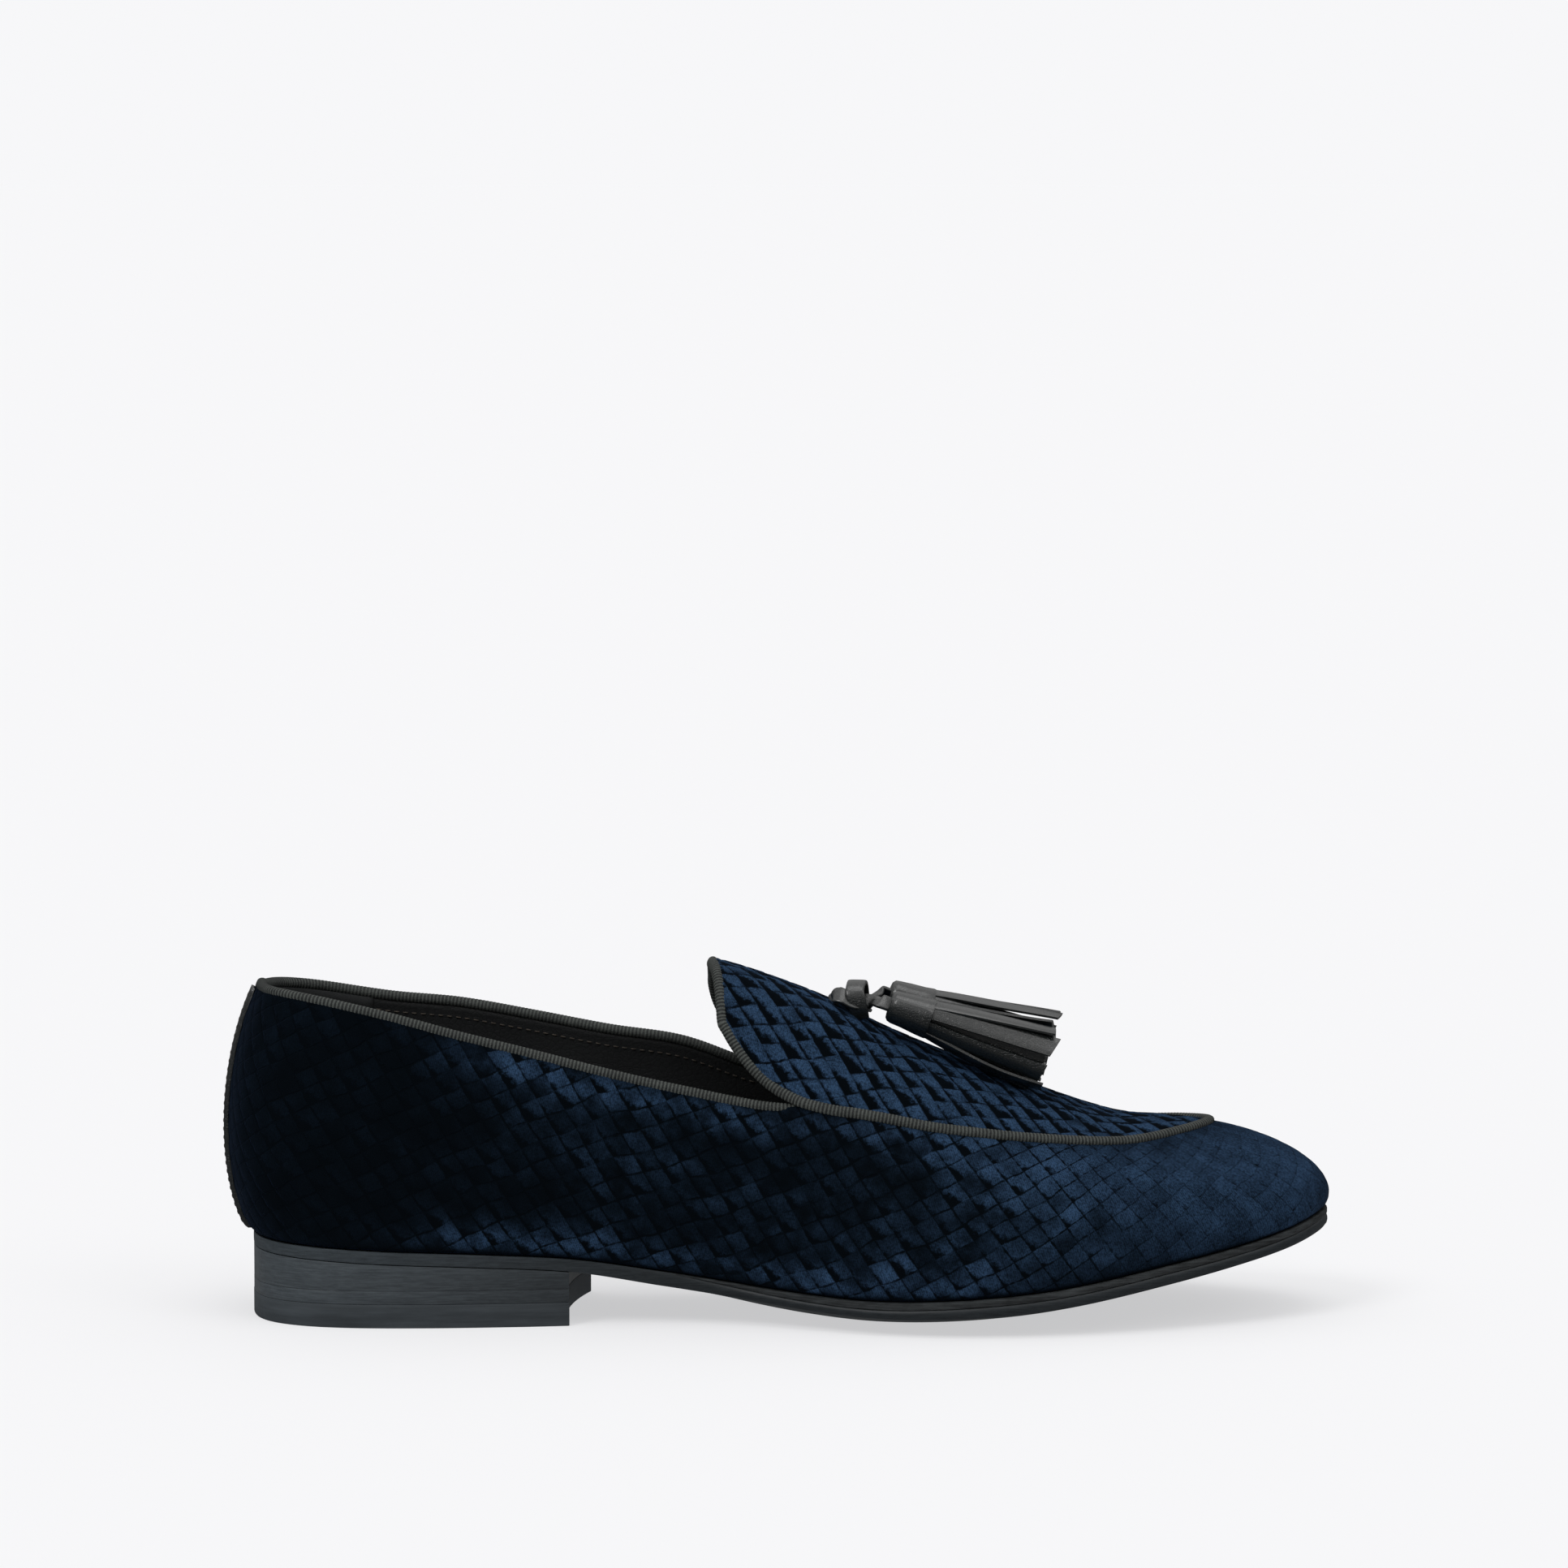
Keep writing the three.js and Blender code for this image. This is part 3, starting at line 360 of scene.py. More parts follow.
# Sharp edges past an angle, so that corners stay crisp under smooth shading
def crisp(piece, degrees):
    piece.data.set_sharp_from_angle(angle=math.radians(degrees))


def dress(piece, material, slot, *nodes):
    piece.data.materials.clear()
    piece.data.materials.append(material)
    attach(piece, "root")
    if nodes:
        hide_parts(*nodes)
    return piece


# Materials
# Short ways to write a material or a sky: each call adds one node and returns its output.
class Nodes:
    def __init__(self, owner, shader="Principled BSDF"):
        owner.use_nodes = True
        self.owner = owner
        self.tree = owner.node_tree
        self.shader = self.tree.nodes[shader]

    def put(self, kind, inputs=(), **settings):
        node = self.tree.nodes.new(kind)
        for key, value in settings.items():
            setattr(node, key, value)
        for key, value in dict(inputs).items():
            self.feed(node.inputs[key], value)
        return node

    def feed(self, socket, value):
        if isinstance(value, bpy.types.NodeSocket):
            self.tree.links.new(value, socket)
        else:
            socket.default_value = value

    def calc(self, operation, a, b=0.0, c=0.0, clamp=False):
        node = self.put("ShaderNodeMath", {0: a, 1: b, 2: c}, operation=operation, use_clamp=clamp)
        return node.outputs[0]

    def plus(self, a, b):
        return self.calc("ADD", a, b)

    def minus(self, a, b):
        return self.calc("SUBTRACT", a, b)

    def times(self, a, b, clamp=False):
        return self.calc("MULTIPLY", a, b, clamp=clamp)

    def scaled(self, a, by, more, clamp=False):
        return self.calc("MULTIPLY_ADD", a, by, more, clamp)

    def ramp(self, value, low, high, start=0.0, stop=1.0):
        node = self.put("ShaderNodeMapRange", {0: value, 1: low, 2: high, 3: start, 4: stop},
                        interpolation_type="SMOOTHSTEP")
        return node.outputs[0]

    def noise(self, vector, scale, detail=3.0, rough=0.55):
        inputs = {"Vector": vector, "Scale": scale, "Detail": detail, "Roughness": rough}
        return self.put("ShaderNodeTexNoise", inputs).outputs["Fac"]

    def blend(self, share, a, b):
        node = self.put("ShaderNodeMix", {}, data_type="RGBA")
        for key, value in ((0, share), (6, a), (7, b)):
            self.feed(node.inputs[key], value)
        return node.outputs[2]

    def objectSpace(self, stretch=(1, 1, 1)):
        coordinates = self.put("ShaderNodeTexCoord").outputs["Object"]
        return self.put("ShaderNodeMapping", {"Vector": coordinates, "Scale": stretch}).outputs[0]

    def bump(self, height, distance, strength=1.0, normal=None):
        inputs = {"Height": height, "Distance": distance, "Strength": strength}
        if normal is not None:
            inputs["Normal"] = normal
        return self.put("ShaderNodeBump", inputs).outputs[0]

    def finish(self, **sockets):
        for key, value in sockets.items():
            self.feed(self.shader.inputs[key.replace("_", " ")], value)
        return self.owner


# Velvet: a cloth of pressed square cells between two families of lines, at fixed angles to the shoe's length.
# From wander on, the values are the scales of its noises, per metre; angles are in degrees.
weave = dict(cell=5.4 * mm, upAngle=25.0, downAngle=-57.0, rim=0.22, pile=0.4 * mm, drift=1.7 * mm,
             dark=(0.0013, 0.0024, 0.0036, 1), bright=(0.031, 0.066, 0.13, 1), sheen=(0.2, 0.4, 0.9, 1),
             hatchAngle=-18.0, wander=60.0, ragged=620.0, patches=130.0, breaks=150.0, hatch=560.0,
             fibre=1700.0)
upAngle, downAngle = math.radians(weave["upAngle"]), math.radians(weave["downAngle"])
cross = math.sin(upAngle - downAngle) * weave["cell"]
# Weights of the cloth's two lengths in each cell coordinate
cellWeights = ((math.sin(upAngle) / cross, -math.cos(upAngle) / cross),
               (-math.sin(downAngle) / cross, math.cos(downAngle) / cross))


# Height of the pressed cells, 0 in the grooves and 1 on a cell, tipped one way or the other in turn
def pillow(a, b):
    c1, c2 = (a * wa + b * wb for wa, wb in cellWeights)
    f1, f2 = c1 % 1, c2 % 1
    edge = np.minimum(np.minimum(f1, 1 - f1), np.minimum(f2, 1 - f2))
    tip = np.where((np.floor(c1) + np.floor(c2)) % 2 == 0, f1, f2)
    return eased(edge, 0, weave["rim"]) * (0.72 + 0.28 * tip)


def velvetMaterial():
    n = Nodes(bpy.data.materials.new("navyVelvet"))
    uv = n.put("ShaderNodeUVMap", uv_map="cloth").outputs[0]
    space = n.objectSpace()
    napSheen = n.put("ShaderNodeAttribute", attribute_name="napSheen").outputs["Fac"]
    relief = n.put("ShaderNodeAttribute", attribute_name="relief").outputs["Fac"]
    split = n.put("ShaderNodeSeparateXYZ", {0: uv})
    # the lines wander a little with the cloth
    drift = n.scaled(n.noise(space, weave["wander"], 2.0), 2 * weave["drift"], -weave["drift"])
    a = n.plus(split.outputs[0], drift)
    b = n.minus(split.outputs[1], drift)
    cells = [n.plus(n.times(a, wa), n.times(b, wb)) for wa, wb in cellWeights]
    down, right = (n.calc("FRACT", c) for c in cells)
    up, left = n.minus(1.0, down), n.minus(1.0, right)
    column, row = (n.calc("FLOOR", c) for c in cells)
    index = n.put("ShaderNodeCombineXYZ", {0: column, 1: row}).outputs[0]
    chance = n.put("ShaderNodeTexWhiteNoise", {"Vector": index}, noise_dimensions="2D").outputs[0]
    # a wedge of painted shade at the left of each cell, wider on every other one, as the bands pass over and
    # under
    parity = n.calc("PINGPONG", n.plus(column, row), 1.0)
    ragged = n.minus(n.noise(space, weave["ragged"], 3.0, 0.7), 0.5)
    broad = n.noise(space, weave["patches"], 2.0)
    weight = n.times(relief, n.scaled(parity, 0.5, 0.42))
    reach = n.times(n.scaled(chance, 0.4, broad), weight)
    corner = n.scaled(right, 0.85, n.times(up, 0.38))
    bar = n.minus(n.scaled(ragged, 0.8, corner), reach)
    shaded = n.ramp(bar, -0.14, 0.15)
    # thin dark lines along the grooves between the cells: painted shade, stronger where the relief is deep
    thin = n.calc("MINIMUM", n.calc("MINIMUM", down, up), n.calc("MINIMUM", right, left))
    lineWidth = n.scaled(relief, 0.05, 0.04)
    edge = n.calc("DIVIDE", n.plus(thin, n.times(ragged, 0.2)), lineWidth)
    breaks = n.noise(space, weave["breaks"], 2.0)
    fade = n.ramp(n.plus(breaks, n.scaled(relief, -0.1, 0.2)), 0.42, 0.7)
    strong = n.times(fade, n.ramp(relief, 0.0, 0.3, 0.35, 1.0))
    lines = n.minus(1.0, n.times(n.ramp(edge, 1.1, 0.1), strong))
    cut = n.times(lines, shaded)
    # painted sheen of the nap: dark where the pile leans away from the light, with single cells painted
    # bright where it turns to catch the light
    catch = n.plus(n.times(chance, 0.5), n.times(broad, 1.4))
    swing = n.times(n.scaled(napSheen, 3.2, 0.06, clamp=True), n.scaled(relief, 0.8, 0.2, clamp=True))
    lit = n.ramp(n.plus(n.times(napSheen, 1.25), n.times(n.minus(catch, 0.95), swing)), -0.03, 0.78)
    # threads of the ground and clumps of pile
    turn = (0, 0, math.radians(weave["hatchAngle"]))
    turned = n.put("ShaderNodeMapping", {"Vector": uv, "Rotation": turn}).outputs[0]
    bands = {"Vector": turned, "Scale": weave["hatch"], "Distortion": 4.0, "Detail": 2.0,
             "Detail Scale": 3.0}
    hatch = n.put("ShaderNodeTexWave", bands, wave_type="BANDS").outputs["Fac"]
    fibre = n.noise(space, weave["fibre"], 3.0, 0.7)
    grain = n.ramp(n.scaled(hatch, 0.12, n.scaled(broad, 0.25, fibre)), 0.42, 0.95, 0.16, 1.0)
    light = n.times(n.times(lit, grain), cut, clamp=True)
    color = n.blend(light, weave["dark"], weave["bright"])
    threads = n.scaled(hatch, 0.1, n.times(fibre, 0.4))
    height = n.scaled(cut, 0.8, threads)
    return n.finish(Base_Color=color, Roughness=0.95, Specular_IOR_Level=0.02, Sheen_Weight=0.03,
                    Sheen_Roughness=0.4, Sheen_Tint=weave["sheen"],
                    Normal=n.bump(height, weave["pile"], 0.8))


# Ribbed ribbon: ribs across its length, each of fine twisted threads
def grosgrainMaterial():
    n = Nodes(bpy.data.materials.new("grosgrain"))
    split = n.put("ShaderNodeSeparateXYZ", {0: n.put("ShaderNodeUVMap", uv_map="cloth").outputs[0]})
    ribs = n.calc("SINE", n.times(split.outputs[0], 2 * math.pi / ribbon["pitch"]))
    thread = n.calc("SINE", n.times(split.outputs[1], 2 * math.pi / ribbon["threadPitch"]))
    space = n.objectSpace()
    speck = n.noise(space, 2200.0, 2.0)
    patch = n.noise(space, 160.0, 2.0)
    clouds = n.scaled(speck, 0.7, n.times(patch, 0.35))
    # lighter on each rib and darker between the ribs: painted highlight and shade, over specks and patches of
    # the thread's own tone
    value = n.scaled(ribs, 0.26, clouds)
    color = n.blend(n.ramp(value, 0.2, 1.0), (0.008, 0.0095, 0.0095, 1), (0.075, 0.083, 0.076, 1))
    fuzz = n.scaled(thread, 0.2, n.times(speck, 0.5))
    height = n.scaled(ribs, 0.5, fuzz)
    return n.finish(Base_Color=color, Roughness=0.78, Specular_IOR_Level=0.35,
                    Normal=n.bump(height, 0.12 * mm, 0.8))


# Leather: pores and fine creases, with a soft gloss
def leatherMaterial(name, dark, light, roughness, scale, coat=0.08, depth=0.1 * mm):
    n = Nodes(bpy.data.materials.new(name))
    space = n.objectSpace()
    pores = n.put("ShaderNodeTexVoronoi", {"Vector": space, "Scale": scale}, feature="DISTANCE_TO_EDGE")
    crease = n.ramp(pores.outputs[0], 0.0, 0.14)
    fine = n.noise(space, scale * 2.4, 3.0)
    cloud = n.noise(space, scale * 0.07, 3.0)
    color = n.blend(n.scaled(crease, 0.35, n.times(cloud, 0.65)), dark, light)
    gloss = n.scaled(fine, 0.16, n.scaled(cloud, 0.12, roughness - 0.12))
    height = n.scaled(crease, 0.7, n.times(fine, 0.5))
    return n.finish(Base_Color=color, Roughness=gloss, Coat_Weight=coat, Coat_Roughness=0.24,
                    Normal=n.bump(height, depth, 0.55))


# Cut edge of stacked leather: long fine lines along the edge under a wax finish
def edgeMaterial(name, dark, light, roughness, lines, coat, waistToneAndShade=1.0):
    n = Nodes(bpy.data.materials.new(name))
    along = n.objectSpace((28, 28, 1))
    streak = n.noise(n.objectSpace((0.05, 0.05, 1)), lines, 4.0, 0.65)
    broken = n.noise(n.objectSpace((0.25, 0.25, 1)), lines * 0.5, 3.0, 0.6)
    speck = n.noise(along, 60.0, 2.0)
    value = n.scaled(streak, 0.75, n.times(broken, 0.45))
    # darker from the heel's back to the waist: a painted highlight on the heel's back, where the light falls,
    # and the sole edge's own darker tone towards the forepart
    place = n.put("ShaderNodeSeparateXYZ", {0: n.objectSpace()}).outputs[0]
    fall = n.ramp(place, -45 * mm, 95 * mm, 1.0, waistToneAndShade)
    color = n.blend(fall, (0, 0, 0, 1), n.blend(n.ramp(value, 0.38, 0.85), dark, light))
    gloss = n.scaled(streak, 0.2, n.scaled(speck, 0.08, roughness - 0.14))
    return n.finish(Base_Color=color, Roughness=gloss, Coat_Weight=coat, Coat_Roughness=0.3,
                    Specular_IOR_Level=0.3, Normal=n.bump(value, 0.18 * mm, 0.5))


ribbon = dict(pitch=1.0 * mm, threadPitch=0.32 * mm, ribHeight=0.1 * mm, halfWidth=1.45 * mm,
              proud=1.4 * mm, lift=0.2 * mm, over=0.5 * mm, sides=18, perRib=6, bindingEnd=7.93)
velvet = velvetMaterial()
grosgrain = grosgrainMaterial()
# Leathers: dark and light tone, roughness, pores per metre, and where they differ coat and depth
blackLeather = leatherMaterial("tasselLeather", (0.0016, 0.0023, 0.0025, 1), (0.007, 0.0095, 0.0095, 1),
                               0.28, 1500.0, 0.8, 0.16 * mm)
liningLeather = leatherMaterial("liningLeather", (0.004, 0.0045, 0.005, 1), (0.012, 0.0135, 0.0145, 1),
                                0.6, 700.0, 0.0)
gripSuede = leatherMaterial("gripSuede", (0.005, 0.0055, 0.006, 1), (0.02, 0.022, 0.023, 1), 0.9, 1600.0, 0.0)
thread = leatherMaterial("thread", (0.018, 0.015, 0.012, 1), (0.075, 0.06, 0.046, 1), 0.7, 1200.0, 0.0)
# Edges: dark and light tone, roughness, lines per metre, coat, and the tone's share left at the waist, partly
# painted shade
soleEdgeLeather = edgeMaterial("soleEdge", (0.024, 0.0305, 0.036, 1), (0.046, 0.058, 0.067, 1),
                               0.48, 2600.0, 0.04, 0.4)
heelLeather = edgeMaterial("stackedHeel", (0.037, 0.045, 0.052, 1), (0.068, 0.082, 0.092, 1),
                           0.38, 2600.0, 0.25, 0.3)
weltEdge = edgeMaterial("weltEdge", (0.01, 0.012, 0.0135, 1), (0.06, 0.068, 0.072, 1), 0.7, 1800.0, 0.0, 0.6)
rubber = edgeMaterial("topLiftRubber", (0.027, 0.033, 0.038, 1), (0.05, 0.06, 0.068, 1),
                      0.55, 500.0, 0.0, 0.75)
print("materials done")

# Upper
# Painted sheen of the nap: soft patches of light placed by station and by the share of the way up the wall, 0
# at the feather line and 1 at the edge above. A row is one patch: station, height, reach along, reach up,
# light.
napSheenBase = 0.03
napSheenPatches = table(("at", "high", "along", "up", "light"), [
    (0.080, 0.92, 0.018, 0.09, 0.24), (0.110, 0.91, 0.026, 0.10, 0.27), (0.145, 0.92, 0.024, 0.08, 0.17),
    (0.100, 0.66, 0.022, 0.20, 0.09), (0.120, 0.40, 0.040, 0.40, 0.06), (0.165, 0.50, 0.030, 0.50, 0.07),
    (0.058, 0.06, 0.012, 0.05, 0.12), (0.082, 0.09, 0.022, 0.09, 0.23), (0.118, 0.10, 0.030, 0.09, 0.15),
    (0.168, 0.08, 0.024, 0.08, 0.33), (0.198, 0.16, 0.022, 0.20, 0.25),
    (0.185, 0.92, 0.016, 0.09, 0.28), (0.212, 0.80, 0.022, 0.28, 0.34), (0.240, 0.62, 0.030, 0.60, 0.26),
    (0.280, 0.50, 0.030, 0.70, 0.28), (0.293, 0.55, 0.010, 0.60, 0.16)])


def napSheenOf(station, high):
    total = np.full(np.broadcast(station, high).shape, napSheenBase)
    for i in range(len(napSheenPatches["at"])):
        row = {key: values[i] for key, values in napSheenPatches.items()}
        far = ((station - row["at"]) / row["along"]) ** 2 + ((high - row["high"]) / row["up"]) ** 2
        total = total + row["light"] * np.exp(-far)
    return np.clip(total, 0, 0.95)


# Depth of the relief along the shoe: strong behind the ball, nearly pressed flat at the toe
def reliefOf(station):
    return np.interp(station, [0.0, 0.15, 0.20, 0.235, 0.26], [0.55, 0.65, 0.6, 0.2, 0.06])


# Cloth: turned is how far up from the feather line the painted shade of the turned-under pile reaches; the
# apron's nap value is its painted sheen
cloth = dict(columns=840, rows=88, skin=1.0 * mm, backRows=6, cellHeight=0.26 * mm, apronColumns=300,
             apronRows=150, apronRelief=0.95, apronHeight=0.34 * mm, apronNapSheen=0.72, hem=2.5 * mm,
             turned=1.8 * mm)


# Quarters and vamp in one: the wall from the feather line to the topline or the apron seam, with relief
def quarters():
    u = allRound(cloth["columns"])
    top = wallTop(u)
    shares, tall = evenShares(u, np.zeros_like(u), top, cloth["rows"])
    middle = lastPoint(u, top * 0.45)
    step = np.linalg.norm(np.diff(middle, axis=0), axis=-1)
    a = summed(step)
    b = tall[:, None] * np.linspace(0, 1, cloth["rows"] + 1)
    station = lastPoint(u[:, None], shares)[..., 0]
    high = np.linspace(0, 1, cloth["rows"] + 1)[None, :]
    # the pile goes dark where it turns under at the sole: painted shade in the crease at the feather line
    napSheen = napSheenOf(station, high) * np.clip(b / cloth["turned"], 0, 1)
    relief = reliefOf(station)
    fade = np.clip(np.minimum(b, tall[:, None] - b) / cloth["hem"], 0, 1)
    lift = pillow(a[:, None] + 0 * b, b) * cloth["cellHeight"] * (0.25 + relief) * fade
    outer = under(u[:, None], shares, -lift)
    inner = under(u[:, None], shares[:, ::-1][:, :: cloth["rows"] // cloth["backRows"]], cloth["skin"])
    points = np.concatenate([outer, inner], 1)[:-1]
    extra = inner.shape[1]
    uvA = np.repeat(a[:, None], points.shape[1] + 1, 1)
    uvB = np.concatenate([b, np.repeat(b[:, -1:], extra + 1, 1)], 1)
    pad = lambda values: np.concatenate([values, np.repeat(values[:, -1:], extra, 1)], 1)[:-1]
    piece = gridPiece("velvetQuarters", placed(points), True, True, np.stack([uvA, uvB], -1),
                      (("napSheen", pad(napSheen)), ("relief", pad(relief + 0 * b))))
    return dress(piece, velvet, "velvet", "upper")


# Apron with the tongue: rib by rib from the outer seam over the ridge to the inner one
def apron():
    s = np.concatenate([np.linspace(last["tongueRib"], 12, cloth["apronColumns"] * 3 // 4)[:-1],
                        np.linspace(12, toeRib, cloth["apronColumns"] // 4)])
    halfRows = cloth["apronRows"] // 2
    u, v = overApron(s, halfRows)
    base = lastPoint(u, v)
    # cloth lengths: along the shoe from the ridge's own length, and across it
    top = base[:, halfRows]
    ridgeRun = summed(np.linalg.norm(np.diff(top, axis=0), axis=-1))
    d = np.diff(base, axis=1)
    size = np.linalg.norm(d, axis=-1)
    flat = np.maximum(np.hypot(d[..., 0], d[..., 1]), 1e-9)
    along, across = summed(size * d[..., 0] / flat), summed(size * d[..., 1] / flat)
    a = ridgeRun[:, None] + along - along[:, halfRows:halfRows + 1]
    b = across - across[:, halfRows:halfRows + 1] + 0.05
    edge = summed(size.mean(0))
    fade = np.clip(np.minimum(edge, edge[-1] - edge) / cloth["hem"], 0, 1)[None, :]
    tip = np.clip((toeRib - s) / 0.6, 0, 1)[:, None]
    lift = pillow(a, b) * cloth["apronHeight"] * fade * tip
    outer = under(u, v, -lift)
    pick = np.linspace(0, base.shape[1] - 1, 31).astype(int)[::-1]
    inner = under(u[:, pick], v[:, pick], cloth["skin"])
    points = np.concatenate([outer, inner], 1)
    extra = inner.shape[1]
    station = base[..., 0]
    # painted sheen of the nap on the apron, set by station
    napSheen = cloth["apronNapSheen"] * np.interp(station, [0.13, 0.145, 0.2, 0.25], [0.75, 1.0, 0.95, 0.85])
    relief = np.full(base.shape[:2], cloth["apronRelief"])
    wide = lambda values, more: np.concatenate([values, np.repeat(values[:, -1:], more, 1)], 1)
    uvs = np.stack([wide(a, extra + 1), wide(b, extra + 1)], -1)
    piece = gridPiece("velvetApron", placed(points), False, True, uvs,
                      (("napSheen", wide(napSheen, extra)), ("relief", wide(relief, extra))),
                      endCaps(*points.shape[:2])[:1])
    return dress(piece, velvet, "velvet")


# Lining under the velvet: the quarters' and the apron's inner side, down to the wall's full depth
liningForm = dict(depth=1.2 * mm, columns=360, rows=24, apronColumns=90, apronRows=16)


def lining():
    u = allRound(liningForm["columns"])[:-1]
    v, _ = evenShares(u, np.zeros_like(u), wallTop(u), liningForm["rows"])
    pieces = [sheet("liningQuarters", u[:, None], v, liningForm["depth"], wall, 0, True)]
    s = np.linspace(last["tongueRib"], toeRib, liningForm["apronColumns"])
    u, v = overApron(s, liningForm["apronRows"])
    pieces.append(sheet("liningApron", u, v, liningForm["depth"], wall, 1))
    return dress(joined(pieces, "lining"), liningLeather, "lining")


quarters()
apron()
lining()
print("velvet and lining done")


# Ribbon
# Length along a path of points, closed or open
def runOf(points, closed):
    nextOnes = np.roll(points, -1, 0) if closed else points[1:]
    step = np.linalg.norm(nextOnes - (points if closed else points[:-1]), axis=-1)
    return summed(step)


# Values along a path, at places between its points, by a smooth cubic through four of them
def along(values, place, closed):
    count = len(values)
    i = np.floor(place).astype(int)
    t = (place - i).reshape((-1,) + (1,) * (values.ndim - 1))
    at = lambda k: values[(i + k) % count] if closed else values[np.clip(i + k, 0, count - 1)]
    a, b, c, d = at(-1), at(0), at(1), at(2)
    return throughFour(a, b, c, d, t)


# Sections carried along a path: lengths across and up on each point's own side and up directions
def carried(p, side, up, across, high):
    return p[..., None, :] + side[..., None, :] * across[..., None] + up[..., None, :] * high[..., None]


# A ribbed cord of oval section along a path of points with normals: the section swells on every rib
def ribbedCord(name, points, normals, wide, thick, closed):
    run = runOf(points, closed)
    ribs = int(round(run[-1] / ribbon["pitch"]))
    rings = ribs * ribbon["perRib"]
    length = np.linspace(0, run[-1], rings + (0 if closed else 1), endpoint=not closed)
    place = np.interp(length, run, np.arange(len(run)))
    p, n = along(points, place, closed), unit(along(normals, place, closed))
    w, h = along(wide, place, closed), along(thick, place, closed)
    ahead = np.roll(p, -1, 0) - np.roll(p, 1, 0) if closed else np.gradient(p, axis=0)
    forward = unit(ahead)
    side = unit(np.cross(forward, n))
    up = np.cross(side, forward)
    turn = np.linspace(0, 2 * math.pi, ribbon["sides"], endpoint=False)
    ribWave = np.abs(np.sin(math.pi * np.arange(len(p)) / ribbon["perRib"])) ** 0.7
    grow = (ribWave - 0.6) * ribbon["ribHeight"]
    ring = carried(p, side, up, np.outer(w + grow, np.cos(turn)), np.outer(h + grow, np.sin(turn)))
    stretch = np.append(length, run[-1]) if closed else length
    print(name, "is", round(run[-1] / mm), "mm long")
    uvs = np.stack(np.broadcast_arrays(stretch[:, None] - 0.25 * ribbon["pitch"],
                                       np.linspace(0, 9 * mm, ribbon["sides"] + 1)[None, :]), -1)
    return gridPiece(name, placed(ring), closed, True, uvs, caps=() if closed else endCaps(*ring.shape[:2]))


# Piping in the apron seam and round the edge of the tongue, with the ribbon's lie at each place
def piping():
    tongue, throat = last["tongueRib"], last["throatRib"]
    onTongue = tongue + (throat - tongue) * (np.arange(8) / 8) ** 1.6
    s = np.concatenate([onTongue, np.linspace(throat, toeRib, 22)])
    onEdge = np.clip((throat - s) / (throat - tongue) / 0.5, 0, 1)
    over = {}
    for side in (-1.0, 1.0):
        corner = np.array([side * tongue])
        over[side] = evenShares(corner, seamShare(corner), np.ones(1), 5)[0][0][1:]
    u = np.concatenate([-s, s[::-1][1:], np.full(5, float(tongue)), np.full(4, -float(tongue))])
    v = np.concatenate([seamShare(-s), seamShare(s)[::-1][1:], over[1.0], over[-1.0][:-1][::-1]])
    e = np.concatenate([onEdge, onEdge[::-1][1:], np.ones(9)])
    depth = -ribbon["lift"] + (wall / 2 + ribbon["lift"]) * e
    inSeam = ribbon["proud"] - ribbon["lift"]
    thick = inSeam + (wall / 2 + ribbon["over"] - inSeam) * e
    points = under(u, v, depth)
    keep = np.concatenate([[True], np.linalg.norm(np.diff(points, axis=0), axis=-1) > ribbon["halfWidth"]])
    normals = lastNormal(u, v)
    piece = ribbedCord("apronPiping", points[keep], normals[keep], np.full(keep.sum(), ribbon["halfWidth"]),
                       thick[keep], True)
    return dress(piece, grosgrain, "grosgrain", "apron_piping")


# Binding folded over the collar. Its ends thin out and tuck in under the piping at the throat.
def binding():
    end = ribbon["bindingEnd"]
    u = sided(np.linspace(-end, end, 119))
    v = toplineShare(u)
    tuck = np.clip((end - np.abs(u)) / 0.3, 0, 1)
    size = 0.55 + 0.45 * tuck
    piece = ribbedCord("collarBinding", under(u, v, wall / 2 + (1 - tuck) * 0.5 * mm), lastNormal(u, v),
                       ribbon["halfWidth"] * size, (wall / 2 + ribbon["over"]) * size, False)
    return dress(piece, grosgrain, "grosgrain", "collar_binding")


piping()
binding()
print("ribbons done")


# Stitches and strips on the last
# Stitches along a path: each a short thread, sunk at its ends
def stitches(name, points, normals, pitch, thickness, fill=0.72):
    run = runOf(points, False)
    count = max(int(run[-1] / pitch), 1)
    t = np.linspace(-0.5, 0.5, 7)
    middle = (np.arange(count) + 0.5) * run[-1] / count
    length = middle[:, None] + t[None, :] * pitch * fill
    place = np.interp(length, run, np.arange(len(run))).ravel()
    p = along(points, place, False).reshape(count, 7, 3)
    n = unit(along(normals, place, False)).reshape(count, 7, 3)
    forward = unit(np.gradient(p, axis=1))
    side = np.cross(forward, n)
    turn = np.linspace(0, 2 * math.pi, 8, endpoint=False)
    arch = (1 - (2 * t) ** 4)[:, None]
    radius = thickness / 2 * (0.4 + 0.6 * arch)
    ring = carried(p + n * (arch - 0.75) * thickness, side, n, np.cos(turn) * radius, np.sin(turn) * radius)
    pieces = []
    for k in range(count):
        pieces.append(gridPiece(f"{name}{k}", placed(ring[k]), False, True, caps=endCaps(7, 8)))
    return joined(pieces, name)


# A row of stitches over places and shares of the last, at one depth
def seam(name, u, v, depth, form, way=1):
    path = under(u, v, np.full(len(u), depth))
    return stitches(name, path, way * lastNormal(u, v), form["pitch"], form["threadThickness"])


# Strip of leather up the heel's back, rounded at its edges
backstayForm = dict(halfWidth=7 * mm, rise=0.45 * mm, thickness=0.9 * mm, edge=0.7 * mm, columns=25, rows=60,
                    stitchInset=1.3 * mm, sunk=0.08 * mm, pitch=2.3 * mm, threadThickness=0.36 * mm)


